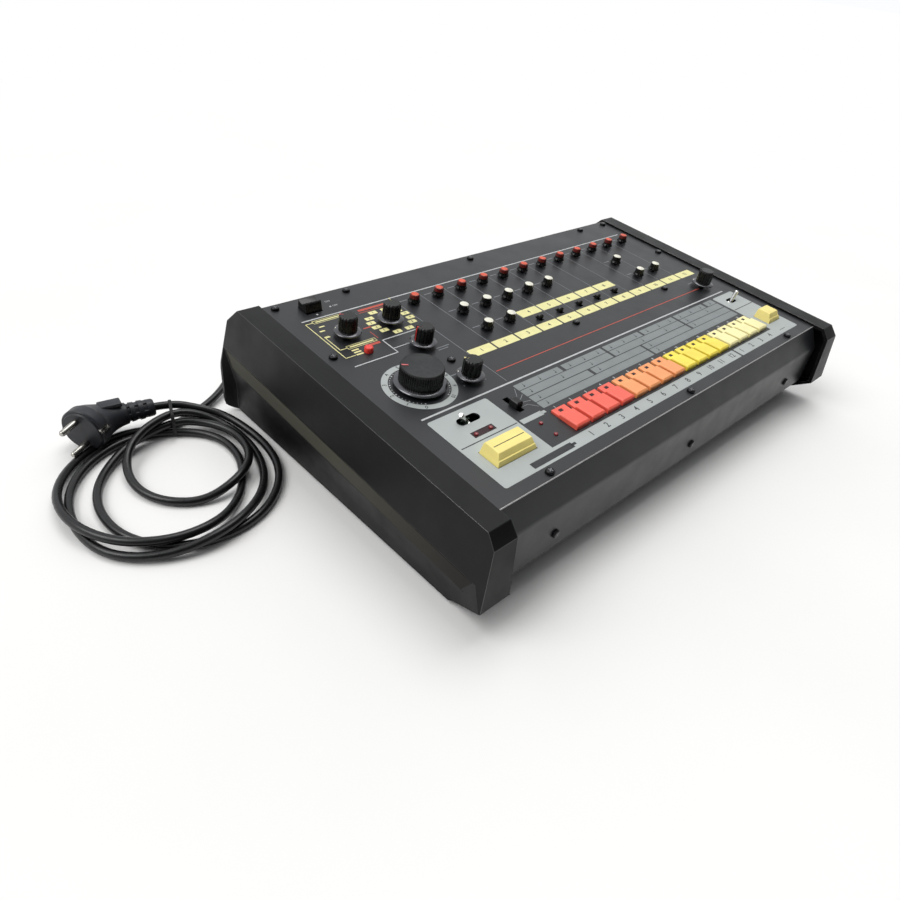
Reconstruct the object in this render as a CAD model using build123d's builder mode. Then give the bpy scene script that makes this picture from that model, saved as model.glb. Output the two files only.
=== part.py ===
from build123d import *
import os
from math import cos, pi, radians, sin, tan

os.makedirs("parts", exist_ok=True)

# Drum machine, millimetres. +X right, +Y to the rear, +Z up. The origin is on the surface it stands on,
# in the middle of its width and depth. The panel slopes up to the rear: u runs across it, v up its slope
# from its front edge, and h away from its face.

# ---------------------------------------------------------------- casing
cheek_width = 26.6            # at its widest
panel_front_height = 81.3     # panel's front edge above the table
panel_slope = 3.92            # degrees
panel_setback = 21.7          # panel's front edge behind the cheeks' noses
panel_rear_setback = 22.93    # panel's rear edge before the cheeks' rear ends
sheet = 1.5                   # steel of the chassis
gap = 0.4                     # round a key in its window, and under a slider's cap
running = 0.05                # radial clearance of a shaft or pin in its bore

cheek_proud = 2.0             # cheek's top above the panel
cheek_top_width = 19.0
cheek_top_front = -10.3       # where its flat top starts, along the slope
cheek_bottom = 3.0            # its underside above the table
cheek_brow_setback = 3.7      # from its nose, at the foot of the top chamfer
cheek_brow_height = 73.6
cheek_nose_height = 26.5
cheek_undercut = 33.7         # length of the sloping underside at the front
cheek_hip_height = 42.0       # widest point of the rear end
cheek_rear_brow_setback = 8.8
cheek_rear_brow_height = 88.0
cheek_heel_radius = 12.0
cheek_corner_radius = 1.6
cheek_wall = 3.0

grip_top_drop = 37.0          # upper edge of the hand grip below the panel's plane
grip_bottom_drop = 71.5
grip_depth = 8.0              # from the widest plane of the casing
grip_front_start = 1.7        # behind the nose, at the outer side
grip_front_run = 28.0         # the front end slants inwards over this length
grip_rear_start = 3.0         # before the rear end
grip_rear_run = 7.0

lip_reach = 10.0              # front lip in front of the panel's front edge
lip_bottom = 25.0             # above the table
lip_top = 62.2
brow_radius = 7.0
fold_radius = 1.8
rear_lip = 14.0

tray_bottom = 8.0             # above the table, so the height of the feet
tray_setback = 13.5           # its front wall behind the lip's face
tray_flange_height = 22.0
tray_side_height = 40.0
tray_rear_flange = 12.0

foot_radius = 10.0
foot_chamfer = 1.0
foot_inset_x = 23.4           # from the tray's sides
foot_inset_y = 19.5           # from its front and rear walls

# ---------------------------------------------------------------- panel layout
left_block = 105.5            # width of the field left of the keys and the voice columns
right_block = 52.34           # right of the keys
column_margin = 13.66         # right of the voice columns
column_count = 12
level_row = 219.5
tone_row = 187.0
tuning_row = 157.0
selector_row = 146.5
rear_row = 262.0
rear_margin = 7.7
tone_columns = (2, 3, 4, 5, 6, 10)
tuning_columns = (2, 3, 10, 11)
selector_columns = (4, 5, 6, 7, 8)

# Places on the left block: distance from the panel's left edge, then v.
mode_place = (37.9, 203.5)
instrument_place = (81.1, 203.9)
fill_place = (81.4, 163.5)
tempo_place = (43.4, 122.8)
fine_place = (82.6, 110.6)
clear_place = (38.4, 177.0)
power_place = (35.0, 249.8)
variation_place = (46.6, 74.8)
prescale_slot_place = (87.6, 69.8)
variation_window_place = (46.9, 59.8)
variation_led_offset = 7.0
part_led_places = ((88.7, 43.6), (88.7, 29.4))
start_place = (46.8, 36.0)

# Places on the right block: distance from the panel's right edge, then v.
volume_place = (35.9, 109.0)
fill_variation_place = (33.9, 74.6)
tap_place = (31.6, 35.8)

left_screw_places = ((9.9, rear_row), (78.9, rear_row), (9.9, 182.5), (86.9, 136.0))
right_screw_places = ((7.4, rear_row), (50.4, rear_row), (7.4, 182.5), (81.9, 125.0))
middle_screw_spots = ((1.0, rear_row), (1.5, 125.0))
front_screw_v = 5.5
front_screw_insets = (54.4, 48.4)   # from the panel's left and right edges
front_screw_middle = 2.5
lip_screw_height = 39.0
screw_head_radius = 3.4
screw_head_height = 2.2
screw_head_fillet = 1.2
screw_shank_radius = 1.5
screw_length = 8.0

# ---------------------------------------------------------------- keys
step_count = 16
step_pitch = 18.56
step_gap = 3.56               # between two keys
step_front = 24.2
step_length = 24.8
step_tail = 7.4               # lower rear part that holds the LED window
step_tail_height = 1.6
step_rise = 3.4               # rear edge of the pressing face
step_height = 4.2
step_window_width = 4.0
step_window_length = 2.6
step_window_depth = 0.8
step_window_shift = 0.6       # to the left of the key's middle
step_front_bevel = 1.4
step_front_drop = 1.2
step_end_bevel = 0.8
step_travel = 1.2

start_size = (38.0, 18.1)
tap_size = (22.5, 16.5)
bar_key_height = 8.0
bar_key_lip_height = 3.6
bar_key_lip_depth = 1.2
bar_key_end_inset = 3.0
bar_key_lip_top = 0.8         # flat top of the lip
bar_key_slope_top = 4.4       # where the sloping front meets the flat top
bar_key_travel = 2.5

key_skirt = 4.0               # of every key, below the panel's face
key_stem = 3.0
key_stem_grip = 3.0           # of the stem inside its switch
clear_radius = 3.5
clear_height = 4.4
clear_skirt = 0.6             # below the panel's face
clear_travel = 1.2

# ---------------------------------------------------------------- knobs
small_shaft_radius = 1.5
large_shaft_radius = 3.0

level_knob_radius = 5.5       # at its flared foot
level_knob_lift = 1.2         # of its foot over the panel
level_knob_rim = 1.0          # upright edge of the foot
level_knob_foot = 3.4
level_knob_waist_radius = 4.6
level_knob_top_radius = 4.1
level_knob_height = 8.6

selector_knob_height = 17.5
selector_body_radius = 7.5
selector_skirt_radius = 10.9
selector_skirt_lift = 3.5     # of its skirt over the panel
selector_skirt_height = 5.2

tempo_height = 17.6
tempo_body_radius = 16.5
tempo_skirt_radius = 19.9
tempo_skirt_lift = 3.1
tempo_skirt_height = 4.8
tempo_flute_count = 24
tempo_flute_radius = 0.7

knob_edge = 0.8               # bevel of a knob's top and of its skirt

# ---------------------------------------------------------------- switches
rocker_width = 14.8
rocker_length = 12.0
rocker_height = 7.6
rocker_depth = 5.0
rocker_pivot_depth = 3.8
rocker_rest = 8.0             # degrees that its rear half is pressed down
rocker_dip = 2.2              # of its middle below its two ends
pin_radius = 1.2
pin_length = 1.4
housing_wall = 1.6
housing_roof = 0.6            # over the pin

lever_radius = 1.7
lever_tip_radius = 2.2
lever_length = 14.5
lever_pivot_depth = 4.0
lever_hub_width = 4.0
lever_hub_radius = 2.3
variation_slot_length = 20.4
variation_lean = 38.0         # degrees from upright, to the left
fill_slot_length = 13.0
fill_lean = 21.0              # degrees from upright, to the right
lever_slot_width = 7.6

slider_width = 6.4
slider_length = 8.0
slider_height = 5.6
slider_stem_length = 3.0
slider_depth = 4.0
prescale_slot_width = 5.5
prescale_slot_length = 18.0
prescale_pitch = 3.6          # between its four positions
selector_slot_width = 4.6
selector_slot_length = 8.0
selector_tab_width = 5.4
selector_tab_length = 3.6
selector_tab_height = 4.0

led_radius = 1.6
led_height = 1.2
led_lead_radius = 0.4
led_lead_offset = 0.8
led_collar = 1.0              # below the panel's underside
led_window_recess = 0.2
variation_window_width = 20.9
variation_window_length = 5.9

# ---------------------------------------------------------------- inside
board_thickness = 1.6
board_drop = 16.0             # panel board's upper face below the panel's face
board_margin_u = 5.0
board_margin_v = 1.5
board_margin_rear = 5.5
bush_top_drop = 2.2
bush_wall = 1.4
pot_body = 9.0
pot_body_height = 7.0
bore_bottom_drop = 15.2
shaft_bottom_drop = 13.0
key_switch_size = 7.0
post_radius = 3.0

main_board_width = 360.0
main_board_depth = 150.0
main_board_height = 10.0      # of its standoffs
main_board_x = 30.0
main_board_y = -25.0
main_board_margin = 10.0
chip_width = 18.0
chip_depth = 7.0
chip_height = 3.6
chip_pitch_x = 42.0
chip_pitch_y = 32.0
chip_columns = 8
chip_rows = 4
capacitor_radius = 6.0
capacitor_height = 18.0
capacitor_strip = 16.0

transformer_width = 58.0
transformer_depth = 40.0
transformer_height = 44.0
transformer_inset_x = 47.4    # its middle from the tray's left side
transformer_inset_y = 45.9    # from the rear panel
coil_overhang = 8.0
core_limb = 10.0
winding_fillet = 3.0
bracket_thickness = 2.0
bracket_reach = 12.0
bracket_width = 24.0

# ---------------------------------------------------------------- rear panel
jack_height = 58.0            # centres above the table
jack_first_x = -60.0
jack_pitch = 22.0
jack_count = 12
jack_bore_radius = 1.8        # 3.5 mm plugs
jack_nut_radius = 4.6
jack_nut_depth = 3.0
jack_body = 9.0
jack_body_depth = 14.0
output_x = (-140.0, -105.0)
output_bore_radius = 3.2      # 6.35 mm plugs
output_bore_length = 24.0
output_nut_radius = 7.5
output_nut_depth = 4.0
output_body = 16.0
sync_x = 75.0
sync_radius = 7.6
sync_wall = 1.2
sync_recess = 3.0
sync_pin_radius = 0.7
sync_pin_circle = 3.6

# ---------------------------------------------------------------- mains cord
cord_radius = 3.25
gland_x = -140.0
gland_height = 30.0
gland_length = 25.0
gland_flange_radius = 8.5
gland_flange_depth = 2.5
gland_root_radius = 6.6
gland_tip_radius = 4.6

# The cord's route after the gland, down to the table and along it to the coil (x, y, z).
cord_route = [
    (-140.0, 172.9, 30.0),
    (-149.0, 200.9, 27.0),
    (-172.0, 216.9, 21.0),
    (-200.0, 212.9, 14.0),
    (-225.0, 194.9, 9.0),
    (-251.0, 172.9, 5.0),
    (-281.0, 159.5, 3.3),
    (-308.0, 153.0, 3.3),
]
coil_centre = (-335.5, 85.0)
coil_outer = (81.8, 78.5)     # half axes
coil_eye_centre = (-316.0, 103.0)
coil_eye = (41.7, 49.0)
coil_height = 13.0
tie_spot = (-301.5, 153.5)
tie_height = 23.0
tie_width = 2.4
tie_thickness = 1.2
tie_corner = 7.5
tie_way = (1.0, -0.35, 0.0)   # along the strands that it holds
tie_span = 29.0               # across the bundle that it holds

plug_centre = (-366.8, 163.5, 18.2)   # middle of the plug's face
plug_heading = 215.4          # degrees, the way its pins point
plug_relief_heading = -8.4    # degrees, the way the cord leaves it
plug_radius = 18.0
plug_rim = 1.0
plug_face_depth = 9.0
plug_back_depth = 16.0
plug_back_radius = 9.5
plug_relief_depth = 16.0      # from the plug's face to the relief's middle line
plug_relief_length = 44.0
plug_relief_root = 8.5
plug_relief_tip = 5.2
plug_pin_radius = 2.4
plug_pin_length = 19.0
plug_pin_spacing = 19.0

# ---------------------------------------------------------------- worked-out places
slope = radians(panel_slope)
panel_width = left_block + step_count * step_pitch + right_block
panel_depth = rear_row + rear_margin
width = panel_width + 2 * cheek_width
depth = panel_setback + panel_depth * cos(slope) + panel_rear_setback
front = -depth / 2
rear = depth / 2
half_panel = panel_width / 2
deck_y = front + panel_setback
deck = Plane(origin=(0, deck_y, panel_front_height), x_dir=(1, 0, 0), z_dir=(0, -sin(slope), cos(slope)))
deck_normal = Axis(deck.origin, deck.z_dir)
section = Plane(origin=deck.origin, x_dir=(1, 0, 0), z_dir=-deck.y_dir)

lip_y = deck_y - lip_reach
lip_inner_y = lip_y + sheet
tray_front_y = lip_y + tray_setback
panel_rear_y = deck_y + panel_depth * cos(slope)
rear_panel_y = panel_rear_y - sheet
rear_panel_inner_y = rear_panel_y - sheet
floor_height = tray_bottom + sheet
key_switch_top_drop = key_skirt + max(step_travel, bar_key_travel) + gap
key_stem_bottom_drop = key_switch_top_drop + key_stem_grip
step_width = step_pitch - step_gap
step_first = left_block - half_panel
column_pitch = (panel_width - left_block - column_margin) / column_count
column_first = left_block - half_panel + column_pitch / 2
foot_middle_y = (tray_front_y + rear_panel_inner_y) / 2
foot_span_x = panel_width - 2 * foot_inset_x
foot_span_y = rear_panel_inner_y - tray_front_y - 2 * foot_inset_y
transformer_x = transformer_inset_x - half_panel
transformer_y = rear_panel_inner_y - transformer_inset_y


def from_left(place):
    """Spot on the panel at a distance from its left edge."""
    return (place[0] - half_panel, place[1])


def from_right(place):
    """Spot on the panel at a distance from its right edge."""
    return (half_panel - place[0], place[1])


def column_u(number):
    """Place across the panel of a voice column, counted from 1."""
    return column_first + (number - 1) * column_pitch


mode_spot = from_left(mode_place)
instrument_spot = from_left(instrument_place)
fill_spot = from_left(fill_place)
tempo_spot = from_left(tempo_place)
fine_spot = from_left(fine_place)
clear_spot = from_left(clear_place)
power_spot = from_left(power_place)
variation_spot = from_left(variation_place)
prescale_slot_spot = from_left(prescale_slot_place)
variation_window_spot = from_left(variation_window_place)
part_led_spots = [from_left(place) for place in part_led_places]
start_spot = from_left(start_place)
volume_spot = from_right(volume_place)
fill_variation_spot = from_right(fill_variation_place)
tap_spot = from_right(tap_place)

front_screw_u = (front_screw_insets[0] - half_panel, front_screw_middle, half_panel - front_screw_insets[1])
panel_screw_spots = [
    *[from_left(place) for place in left_screw_places],
    *[from_right(place) for place in right_screw_places],
    *middle_screw_spots,
    *[(u, front_screw_v) for u in front_screw_u],
]
lip_screw_spots = [(u, lip_screw_height) for u in front_screw_u]

level_spots = [(column_u(k + 1), level_row) for k in range(column_count)]
tone_spots = [(column_u(k), tone_row) for k in tone_columns]
tone_spots += [(column_u(k), tuning_row) for k in tuning_columns]
selector_spots = [(column_u(k), selector_row) for k in selector_columns]
step_spots = [
    (step_first + step_width / 2 + k * step_pitch, step_front + step_length / 2) for k in range(step_count)
]
large_spots = [mode_spot, instrument_spot, fill_spot, fine_spot, volume_spot, tempo_spot]
small_spots = level_spots + tone_spots
variation_led_spots = [
    (variation_window_spot[0] + side * variation_led_offset, variation_window_spot[1]) for side in (-1, 1)
]
prescale_spot = (prescale_slot_spot[0], prescale_slot_spot[1] - 0.5 * prescale_pitch)


def deck_at(spot, h=0.0):
    """Plane parallel to the panel, with its origin over a spot."""
    return Plane(origin=deck.from_local_coords((spot[0], spot[1], h)), x_dir=deck.x_dir, z_dir=deck.z_dir)


def deck_side(spot, h=0.0):
    """Upright plane that faces +X: its x runs up the slope and its y away from the panel."""
    return Plane(origin=deck.from_local_coords((spot[0], spot[1], h)), x_dir=deck.y_dir, z_dir=(1, 0, 0))


def deck_front(spot, h=0.0):
    """Plane across the slope that faces the front: its x runs across and its y away from the panel."""
    return Plane(origin=deck.from_local_coords((spot[0], spot[1], h)), x_dir=deck.x_dir, z_dir=-deck.y_dir)


def save(piece, name):
    """Label a finished piece and write it."""
    piece.label = name
    export_step(piece, f"parts/{name}.step")


# ---------------------------------------------------------------- cheeks
cheek_top_x = half_panel + cheek_top_width
nose_drop = deck.to_local_coords(Vector(0, front, cheek_nose_height)).Z
side_lean = (width / 2 - cheek_top_x) / (cheek_proud - nose_drop)
grip_inner_x = width / 2 - grip_depth


def side_x(h):
    """How far out the cheek's side face is at a height over the panel."""
    return cheek_top_x + side_lean * (cheek_proud - h)


def cheek_point(v):
    """Point of the cheek's flat top, as (y, z)."""
    place = deck.from_local_coords((0, v, cheek_proud))
    return (place.Y, place.Z)


cheek_outline = [
    cheek_point(cheek_top_front),
    (front + cheek_brow_setback, cheek_brow_height),
    (front, cheek_nose_height),
    (front + cheek_undercut, cheek_bottom),
    (rear, cheek_bottom),
    (rear, cheek_hip_height),
    (rear - cheek_rear_brow_setback, cheek_rear_brow_height),
    cheek_point(panel_depth),
]
overshoot = 30.0              # by which a cutting solid passes the casing

with BuildPart() as grip_recess:
    with BuildSketch(section):
        with BuildLine():
            Polyline(
                (side_x(-grip_top_drop), -grip_top_drop),
                (grip_inner_x, -grip_bottom_drop),
                (grip_inner_x, -panel_front_height - overshoot),
                (width / 2 + overshoot, -panel_front_height - overshoot),
                (width / 2 + overshoot, -grip_top_drop),
                close=True,
            )
        make_face()
    extrude(amount=depth + overshoot, both=True)
    with BuildSketch(Plane.XY):
        front_slant = grip_front_run / grip_depth
        rear_slant = grip_rear_run / grip_depth
        with BuildLine():
            Polyline(
                (width / 2 + overshoot, front + grip_front_start - overshoot * front_slant),
                (grip_inner_x - 1, front + grip_front_start + (grip_depth + 1) * front_slant),
                (grip_inner_x - 1, rear - grip_rear_start - (grip_depth + 1) * rear_slant),
                (width / 2 + overshoot, rear - grip_rear_start + overshoot * rear_slant),
                close=True,
            )
        make_face()
    extrude(amount=panel_front_height + overshoot, mode=Mode.INTERSECT)

with BuildPart() as right_cheek:
    with BuildSketch(Plane.YZ.offset(half_panel)) as cheek_face:
        with BuildLine():
            Polyline(*cheek_outline, close=True)
        make_face()
        heel = cheek_face.vertices().group_by(Axis.Y)[0].sort_by(Axis.X)[-1]
        fillet(heel, radius=cheek_heel_radius)
    extrude(amount=width / 2 - half_panel)
    fillet(right_cheek.edges().filter_by(Axis.X).sort_by(Axis.Z)[-3:], radius=cheek_corner_radius)
    with BuildSketch(section):
        with BuildLine():
            Polyline(
                (side_x(overshoot), overshoot),
                (side_x(-panel_front_height - overshoot), -panel_front_height - overshoot),
                (width / 2 + 2 * overshoot, -panel_front_height - overshoot),
                (width / 2 + 2 * overshoot, overshoot),
                close=True,
            )
        make_face()
    extrude(amount=depth + overshoot, both=True, mode=Mode.SUBTRACT)
    add(grip_recess.part, mode=Mode.SUBTRACT)
    with BuildSketch(Plane.YZ.offset(half_panel)):
        with BuildLine():
            Polyline(*cheek_outline, close=True)
        make_face()
        offset(amount=-cheek_wall, kind=Kind.INTERSECTION)
    extrude(amount=grip_inner_x - cheek_wall - half_panel, mode=Mode.SUBTRACT)

save(right_cheek.part, "right_cheek")
save(mirror(right_cheek.part, about=Plane.YZ), "left_cheek")

# ---------------------------------------------------------------- top panel
rear_edge = (panel_rear_y, panel_front_height + panel_depth * sin(slope))

with BuildPart() as top_panel:
    with BuildSketch(Plane.YZ):
        with BuildLine():
            FilletPolyline(
                (lip_y, lip_bottom),
                (lip_y, lip_top),
                (deck_y, panel_front_height),
                rear_edge,
                (rear_edge[0], rear_edge[1] - rear_lip),
                radius=[brow_radius, fold_radius, fold_radius],
            )
            offset(amount=sheet, side=Side.RIGHT)
        make_face()
    extrude(amount=half_panel, both=True)
    with BuildSketch(deck):
        with Locations(*small_spots):
            Circle(small_shaft_radius + gap)
        with Locations(*large_spots):
            Circle(large_shaft_radius + gap)
        with Locations(clear_spot):
            Circle(clear_radius + gap)
        with Locations(*step_spots):
            Rectangle(step_width + 2 * gap, step_length + 2 * gap)
        with Locations(start_spot):
            Rectangle(start_size[0] + 2 * gap, start_size[1] + 2 * gap)
        with Locations(tap_spot):
            Rectangle(tap_size[0] + 2 * gap, tap_size[1] + 2 * gap)
        with Locations(power_spot):
            Rectangle(rocker_width + 2 * gap, rocker_length + 4 * gap)
        with Locations(variation_spot):
            SlotOverall(variation_slot_length, lever_slot_width)
        with Locations(fill_variation_spot):
            SlotOverall(fill_slot_length, lever_slot_width)
        with Locations(prescale_slot_spot):
            Rectangle(prescale_slot_width, prescale_slot_length)
        with Locations(*selector_spots):
            Rectangle(selector_slot_width, selector_slot_length)
        with Locations(variation_window_spot):
            Rectangle(variation_window_width, variation_window_length)
        with Locations(*part_led_spots):
            Circle(led_radius)
        with Locations(*panel_screw_spots):
            Circle(screw_shank_radius)
    extrude(amount=-2 * sheet, mode=Mode.SUBTRACT)
    with BuildSketch(Plane.XZ.offset(-lip_y)):
        with Locations(*lip_screw_spots):
            Circle(screw_shank_radius)
    extrude(amount=-sheet, mode=Mode.SUBTRACT)

save(top_panel.part, "top_panel")

# ---------------------------------------------------------------- bottom cover
tray_middle_y = (tray_front_y + rear_panel_inner_y) / 2

with BuildPart() as bottom_cover:
    with BuildSketch(Plane.YZ):
        with BuildLine():
            Polyline(
                (lip_inner_y, lip_bottom + tray_flange_height),
                (lip_inner_y, lip_bottom + sheet),
                (tray_front_y, lip_bottom + sheet),
                (tray_front_y, tray_bottom),
                (rear_panel_inner_y, tray_bottom),
                (rear_panel_inner_y, tray_bottom + tray_rear_flange),
            )
            offset(amount=sheet, side=Side.LEFT, kind=Kind.INTERSECTION)
        make_face()
    extrude(amount=half_panel, both=True)
    for side in (-1, 1):
        with BuildSketch(Plane.YZ.offset(side * (half_panel - sheet / 2))):
            with Locations((tray_middle_y, tray_bottom + tray_side_height / 2)):
                Rectangle(rear_panel_inner_y - tray_front_y, tray_side_height)
        extrude(amount=sheet / 2, both=True)
    with BuildSketch(Plane.XZ.offset(-lip_inner_y)):
        with Locations(*lip_screw_spots):
            Circle(screw_shank_radius)
    extrude(amount=-sheet, mode=Mode.SUBTRACT)

save(bottom_cover.part, "bottom_cover")

with BuildPart() as rubber_feet:
    with BuildSketch(Plane.XY):
        with Locations((0, foot_middle_y)):
            with GridLocations(foot_span_x, foot_span_y, 2, 2):
                Circle(foot_radius)
    extrude(amount=tray_bottom)
    chamfer(rubber_feet.faces().filter_by(Plane.XY).group_by(Axis.Z)[0].edges(), length=foot_chamfer)

save(rubber_feet.part, "rubber_feet")

# ---------------------------------------------------------------- screws
with BuildPart() as panel_screws:
    with BuildSketch(deck):
        with Locations(*panel_screw_spots):
            Circle(screw_head_radius)
    extrude(amount=screw_head_height)
    fillet(panel_screws.faces().group_by(deck_normal)[-1].edges(), radius=screw_head_fillet)
    with BuildSketch(deck):
        with Locations(*panel_screw_spots):
            Circle(screw_shank_radius)
    extrude(amount=-screw_length)

with BuildPart() as lip_screws:
    with BuildSketch(Plane.XZ.offset(-lip_y)):
        with Locations(*lip_screw_spots):
            Circle(screw_head_radius)
    extrude(amount=screw_head_height)
    fillet(lip_screws.faces().group_by(Axis.Y)[0].edges(), radius=screw_head_fillet)
    with BuildSketch(Plane.XZ.offset(-lip_y)):
        with Locations(*lip_screw_spots):
            Circle(screw_shank_radius)
    extrude(amount=-screw_length)

save(Compound(children=[*panel_screws.part.solids(), *lip_screws.part.solids()]), "panel_screws")

# ---------------------------------------------------------------- rear panel and its sockets
rear_panel_top = panel_front_height + (rear_panel_inner_y - deck_y) * tan(slope) - sheet / cos(slope) - gap
jack_spots = [(jack_first_x + k * jack_pitch, jack_height) for k in range(jack_count)]
voice_jack_spots = [spot for spot in jack_spots if abs(spot[0] - sync_x) > jack_pitch / 2]
output_spots = [(x, jack_height) for x in output_x]
rear_plane = Plane(origin=(0, rear_panel_y, 0), x_dir=(1, 0, 0), z_dir=(0, -1, 0))
# Sketches on rear_plane have z upwards; a positive extrusion goes into the casing.


def sleeve(spots, outer, inner, start, length, hexagon=False):
    """Tubes through or on the rear panel: start is measured into the casing from its outer face."""
    with BuildPart() as tubes:
        with BuildSketch(rear_plane.offset(start)):
            with Locations(*spots):
                if hexagon:
                    RegularPolygon(outer, 6)
                else:
                    Circle(outer)
                Circle(inner, mode=Mode.SUBTRACT)
        extrude(amount=length)
    return tubes.part


with BuildPart() as rear_panel:
    with BuildSketch(rear_plane):
        with Locations((0, (tray_bottom + rear_panel_top) / 2)):
            Rectangle(panel_width, rear_panel_top - tray_bottom)
        with Locations(*voice_jack_spots):
            Circle(jack_bore_radius + sheet, mode=Mode.SUBTRACT)
        with Locations(*output_spots):
            Circle(output_bore_radius + sheet, mode=Mode.SUBTRACT)
        with Locations((sync_x, jack_height)):
            Circle(sync_radius, mode=Mode.SUBTRACT)
        with Locations((gland_x, gland_height)):
            Circle(gland_root_radius, mode=Mode.SUBTRACT)
    extrude(amount=sheet)

save(rear_panel.part, "rear_panel")

output_tube_length = output_bore_length - output_nut_depth

with BuildPart() as rear_jacks:
    add(sleeve(voice_jack_spots, jack_nut_radius, jack_bore_radius, -jack_nut_depth, jack_nut_depth, True))
    add(sleeve(voice_jack_spots, jack_bore_radius + sheet, jack_bore_radius, 0, sheet))
    with BuildSketch(rear_plane.offset(sheet)):
        with Locations(*voice_jack_spots):
            Rectangle(jack_body, jack_body)
            Circle(jack_bore_radius, mode=Mode.SUBTRACT)
    extrude(amount=jack_body_depth)
    # round sync socket with its ring of pins
    with BuildSketch(rear_plane):
        with Locations((sync_x, jack_height)):
            Circle(sync_radius)
    extrude(amount=jack_body_depth)
    with BuildSketch(rear_plane):
        with Locations((sync_x, jack_height)):
            Circle(sync_radius - sync_wall)
    extrude(amount=sync_recess, mode=Mode.SUBTRACT)
    with BuildSketch(rear_plane.offset(sync_recess)):
        with Locations((sync_x, jack_height)):
            with PolarLocations(sync_pin_circle, 5, start_angle=0, angular_range=180, endpoint=True):
                Circle(sync_pin_radius)
    extrude(amount=-sync_recess)
    # two larger output sockets
    add(sleeve(output_spots, output_nut_radius, output_bore_radius, -output_nut_depth, output_nut_depth, True))
    add(sleeve(output_spots, output_bore_radius + sheet, output_bore_radius, 0, sheet))
    with BuildSketch(rear_plane.offset(sheet)):
        with Locations(*output_spots):
            Rectangle(output_body, output_body)
    extrude(amount=output_tube_length)
    with BuildSketch(rear_plane):
        with Locations(*output_spots):
            Circle(output_bore_radius)
    extrude(amount=output_tube_length, mode=Mode.SUBTRACT)

save(rear_jacks.part, "rear_jacks")

# ---------------------------------------------------------------- circuit boards
board_top = deck.offset(-board_drop)
board_width = panel_width - 2 * board_margin_u
board_length = panel_depth - board_margin_v - board_margin_rear
large_bore = large_shaft_radius + running
small_bore = small_shaft_radius + running
pin_bore = pin_radius + running
bush_height = board_drop - bush_top_drop


def housing(plane, span, width_along, height):
    """Two walls across a pivot, drilled for its pin, with the pivot at the plane's origin."""
    with BuildPart() as walls:
        for side in (-1, 1):
            with BuildSketch(plane.offset(side * (span / 2 + running + housing_wall / 2))):
                with Locations((0, (pin_radius + housing_roof - height) / 2)):
                    Rectangle(width_along, height + pin_radius + housing_roof)
                Circle(pin_bore, mode=Mode.SUBTRACT)
            extrude(amount=housing_wall / 2, both=True)
    return walls.part


rocker_pivot = deck_side(power_spot, -rocker_pivot_depth)
variation_pivot = deck_front(variation_spot, -lever_pivot_depth)
fill_pivot = deck_front(fill_variation_spot, -lever_pivot_depth)

with BuildPart() as panel_board:
    with BuildSketch(board_top):
        with Locations((0, board_margin_v + board_length / 2)):
            Rectangle(board_width, board_length)
    extrude(amount=-board_thickness)
    with BuildSketch(board_top):
        with Locations(*panel_screw_spots):
            Circle(post_radius)
    extrude(amount=board_drop - sheet)
    with BuildSketch(board_top):
        with Locations(*small_spots, clear_spot, *large_spots):
            Rectangle(pot_body, pot_body)
    extrude(amount=pot_body_height)
    with BuildSketch(board_top):
        with Locations(*small_spots, clear_spot):
            Circle(small_bore + bush_wall)
        with Locations(*large_spots):
            Circle(large_bore + bush_wall)
    extrude(amount=bush_height)
    with BuildSketch(board_top):
        with Locations(*step_spots, start_spot, tap_spot):
            Rectangle(key_switch_size, key_switch_size)
    extrude(amount=board_drop - key_switch_top_drop)
    # what the shafts, stems and screws go into
    with BuildSketch(deck.offset(-bore_bottom_drop)):
        with Locations(*small_spots, clear_spot):
            Circle(small_bore)
        with Locations(*large_spots):
            Circle(large_bore)
        with Locations(*step_spots, start_spot, tap_spot):
            Rectangle(key_stem + 2 * running, key_stem + 2 * running)
    extrude(amount=bore_bottom_drop, mode=Mode.SUBTRACT)
    with BuildSketch(deck.offset(-screw_length)):
        with Locations(*panel_screw_spots):
            Circle(screw_shank_radius)
    extrude(amount=screw_length, mode=Mode.SUBTRACT)
    # housings of the tilting switches, bodies of the sliding ones
    add(housing(rocker_pivot, rocker_width, rocker_length / 2, board_drop - rocker_pivot_depth))
    for pivot in (variation_pivot, fill_pivot):
        add(housing(pivot, lever_hub_width, lever_hub_width * 2, board_drop - lever_pivot_depth))
    with BuildSketch(board_top):
        with Locations(prescale_slot_spot):
            Rectangle(prescale_slot_width, prescale_slot_length)
        with Locations(*selector_spots):
            Rectangle(selector_slot_width, selector_slot_length)
    extrude(amount=board_drop - slider_depth - running)

save(panel_board.part, "panel_board")

board_level = floor_height + main_board_height

with BuildPart() as main_board:
    with BuildSketch(Plane.XY.offset(board_level)):
        with Locations((main_board_x, main_board_y)):
            Rectangle(main_board_width, main_board_depth)
    extrude(amount=board_thickness)
    with BuildSketch(Plane.XY.offset(floor_height)):
        with Locations((main_board_x, main_board_y)):
            with GridLocations(main_board_width / 2 - main_board_margin, main_board_depth - 2 * main_board_margin, 3, 2):
                Circle(post_radius)
    extrude(amount=main_board_height)
    with BuildSketch(Plane.XY.offset(board_level + board_thickness)):
        with Locations((main_board_x, main_board_y - capacitor_strip / 2)):
            with GridLocations(chip_pitch_x, chip_pitch_y, chip_columns, chip_rows):
                Rectangle(chip_width, chip_depth)
    extrude(amount=chip_height)
    with BuildSketch(Plane.XY.offset(board_level + board_thickness)):
        with Locations((main_board_x, main_board_y + main_board_depth / 2 - main_board_margin)):
            with GridLocations(chip_pitch_x, 1, chip_columns, 1):
                Circle(capacitor_radius)
    extrude(amount=capacitor_height)

save(main_board.part, "main_board")

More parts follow.
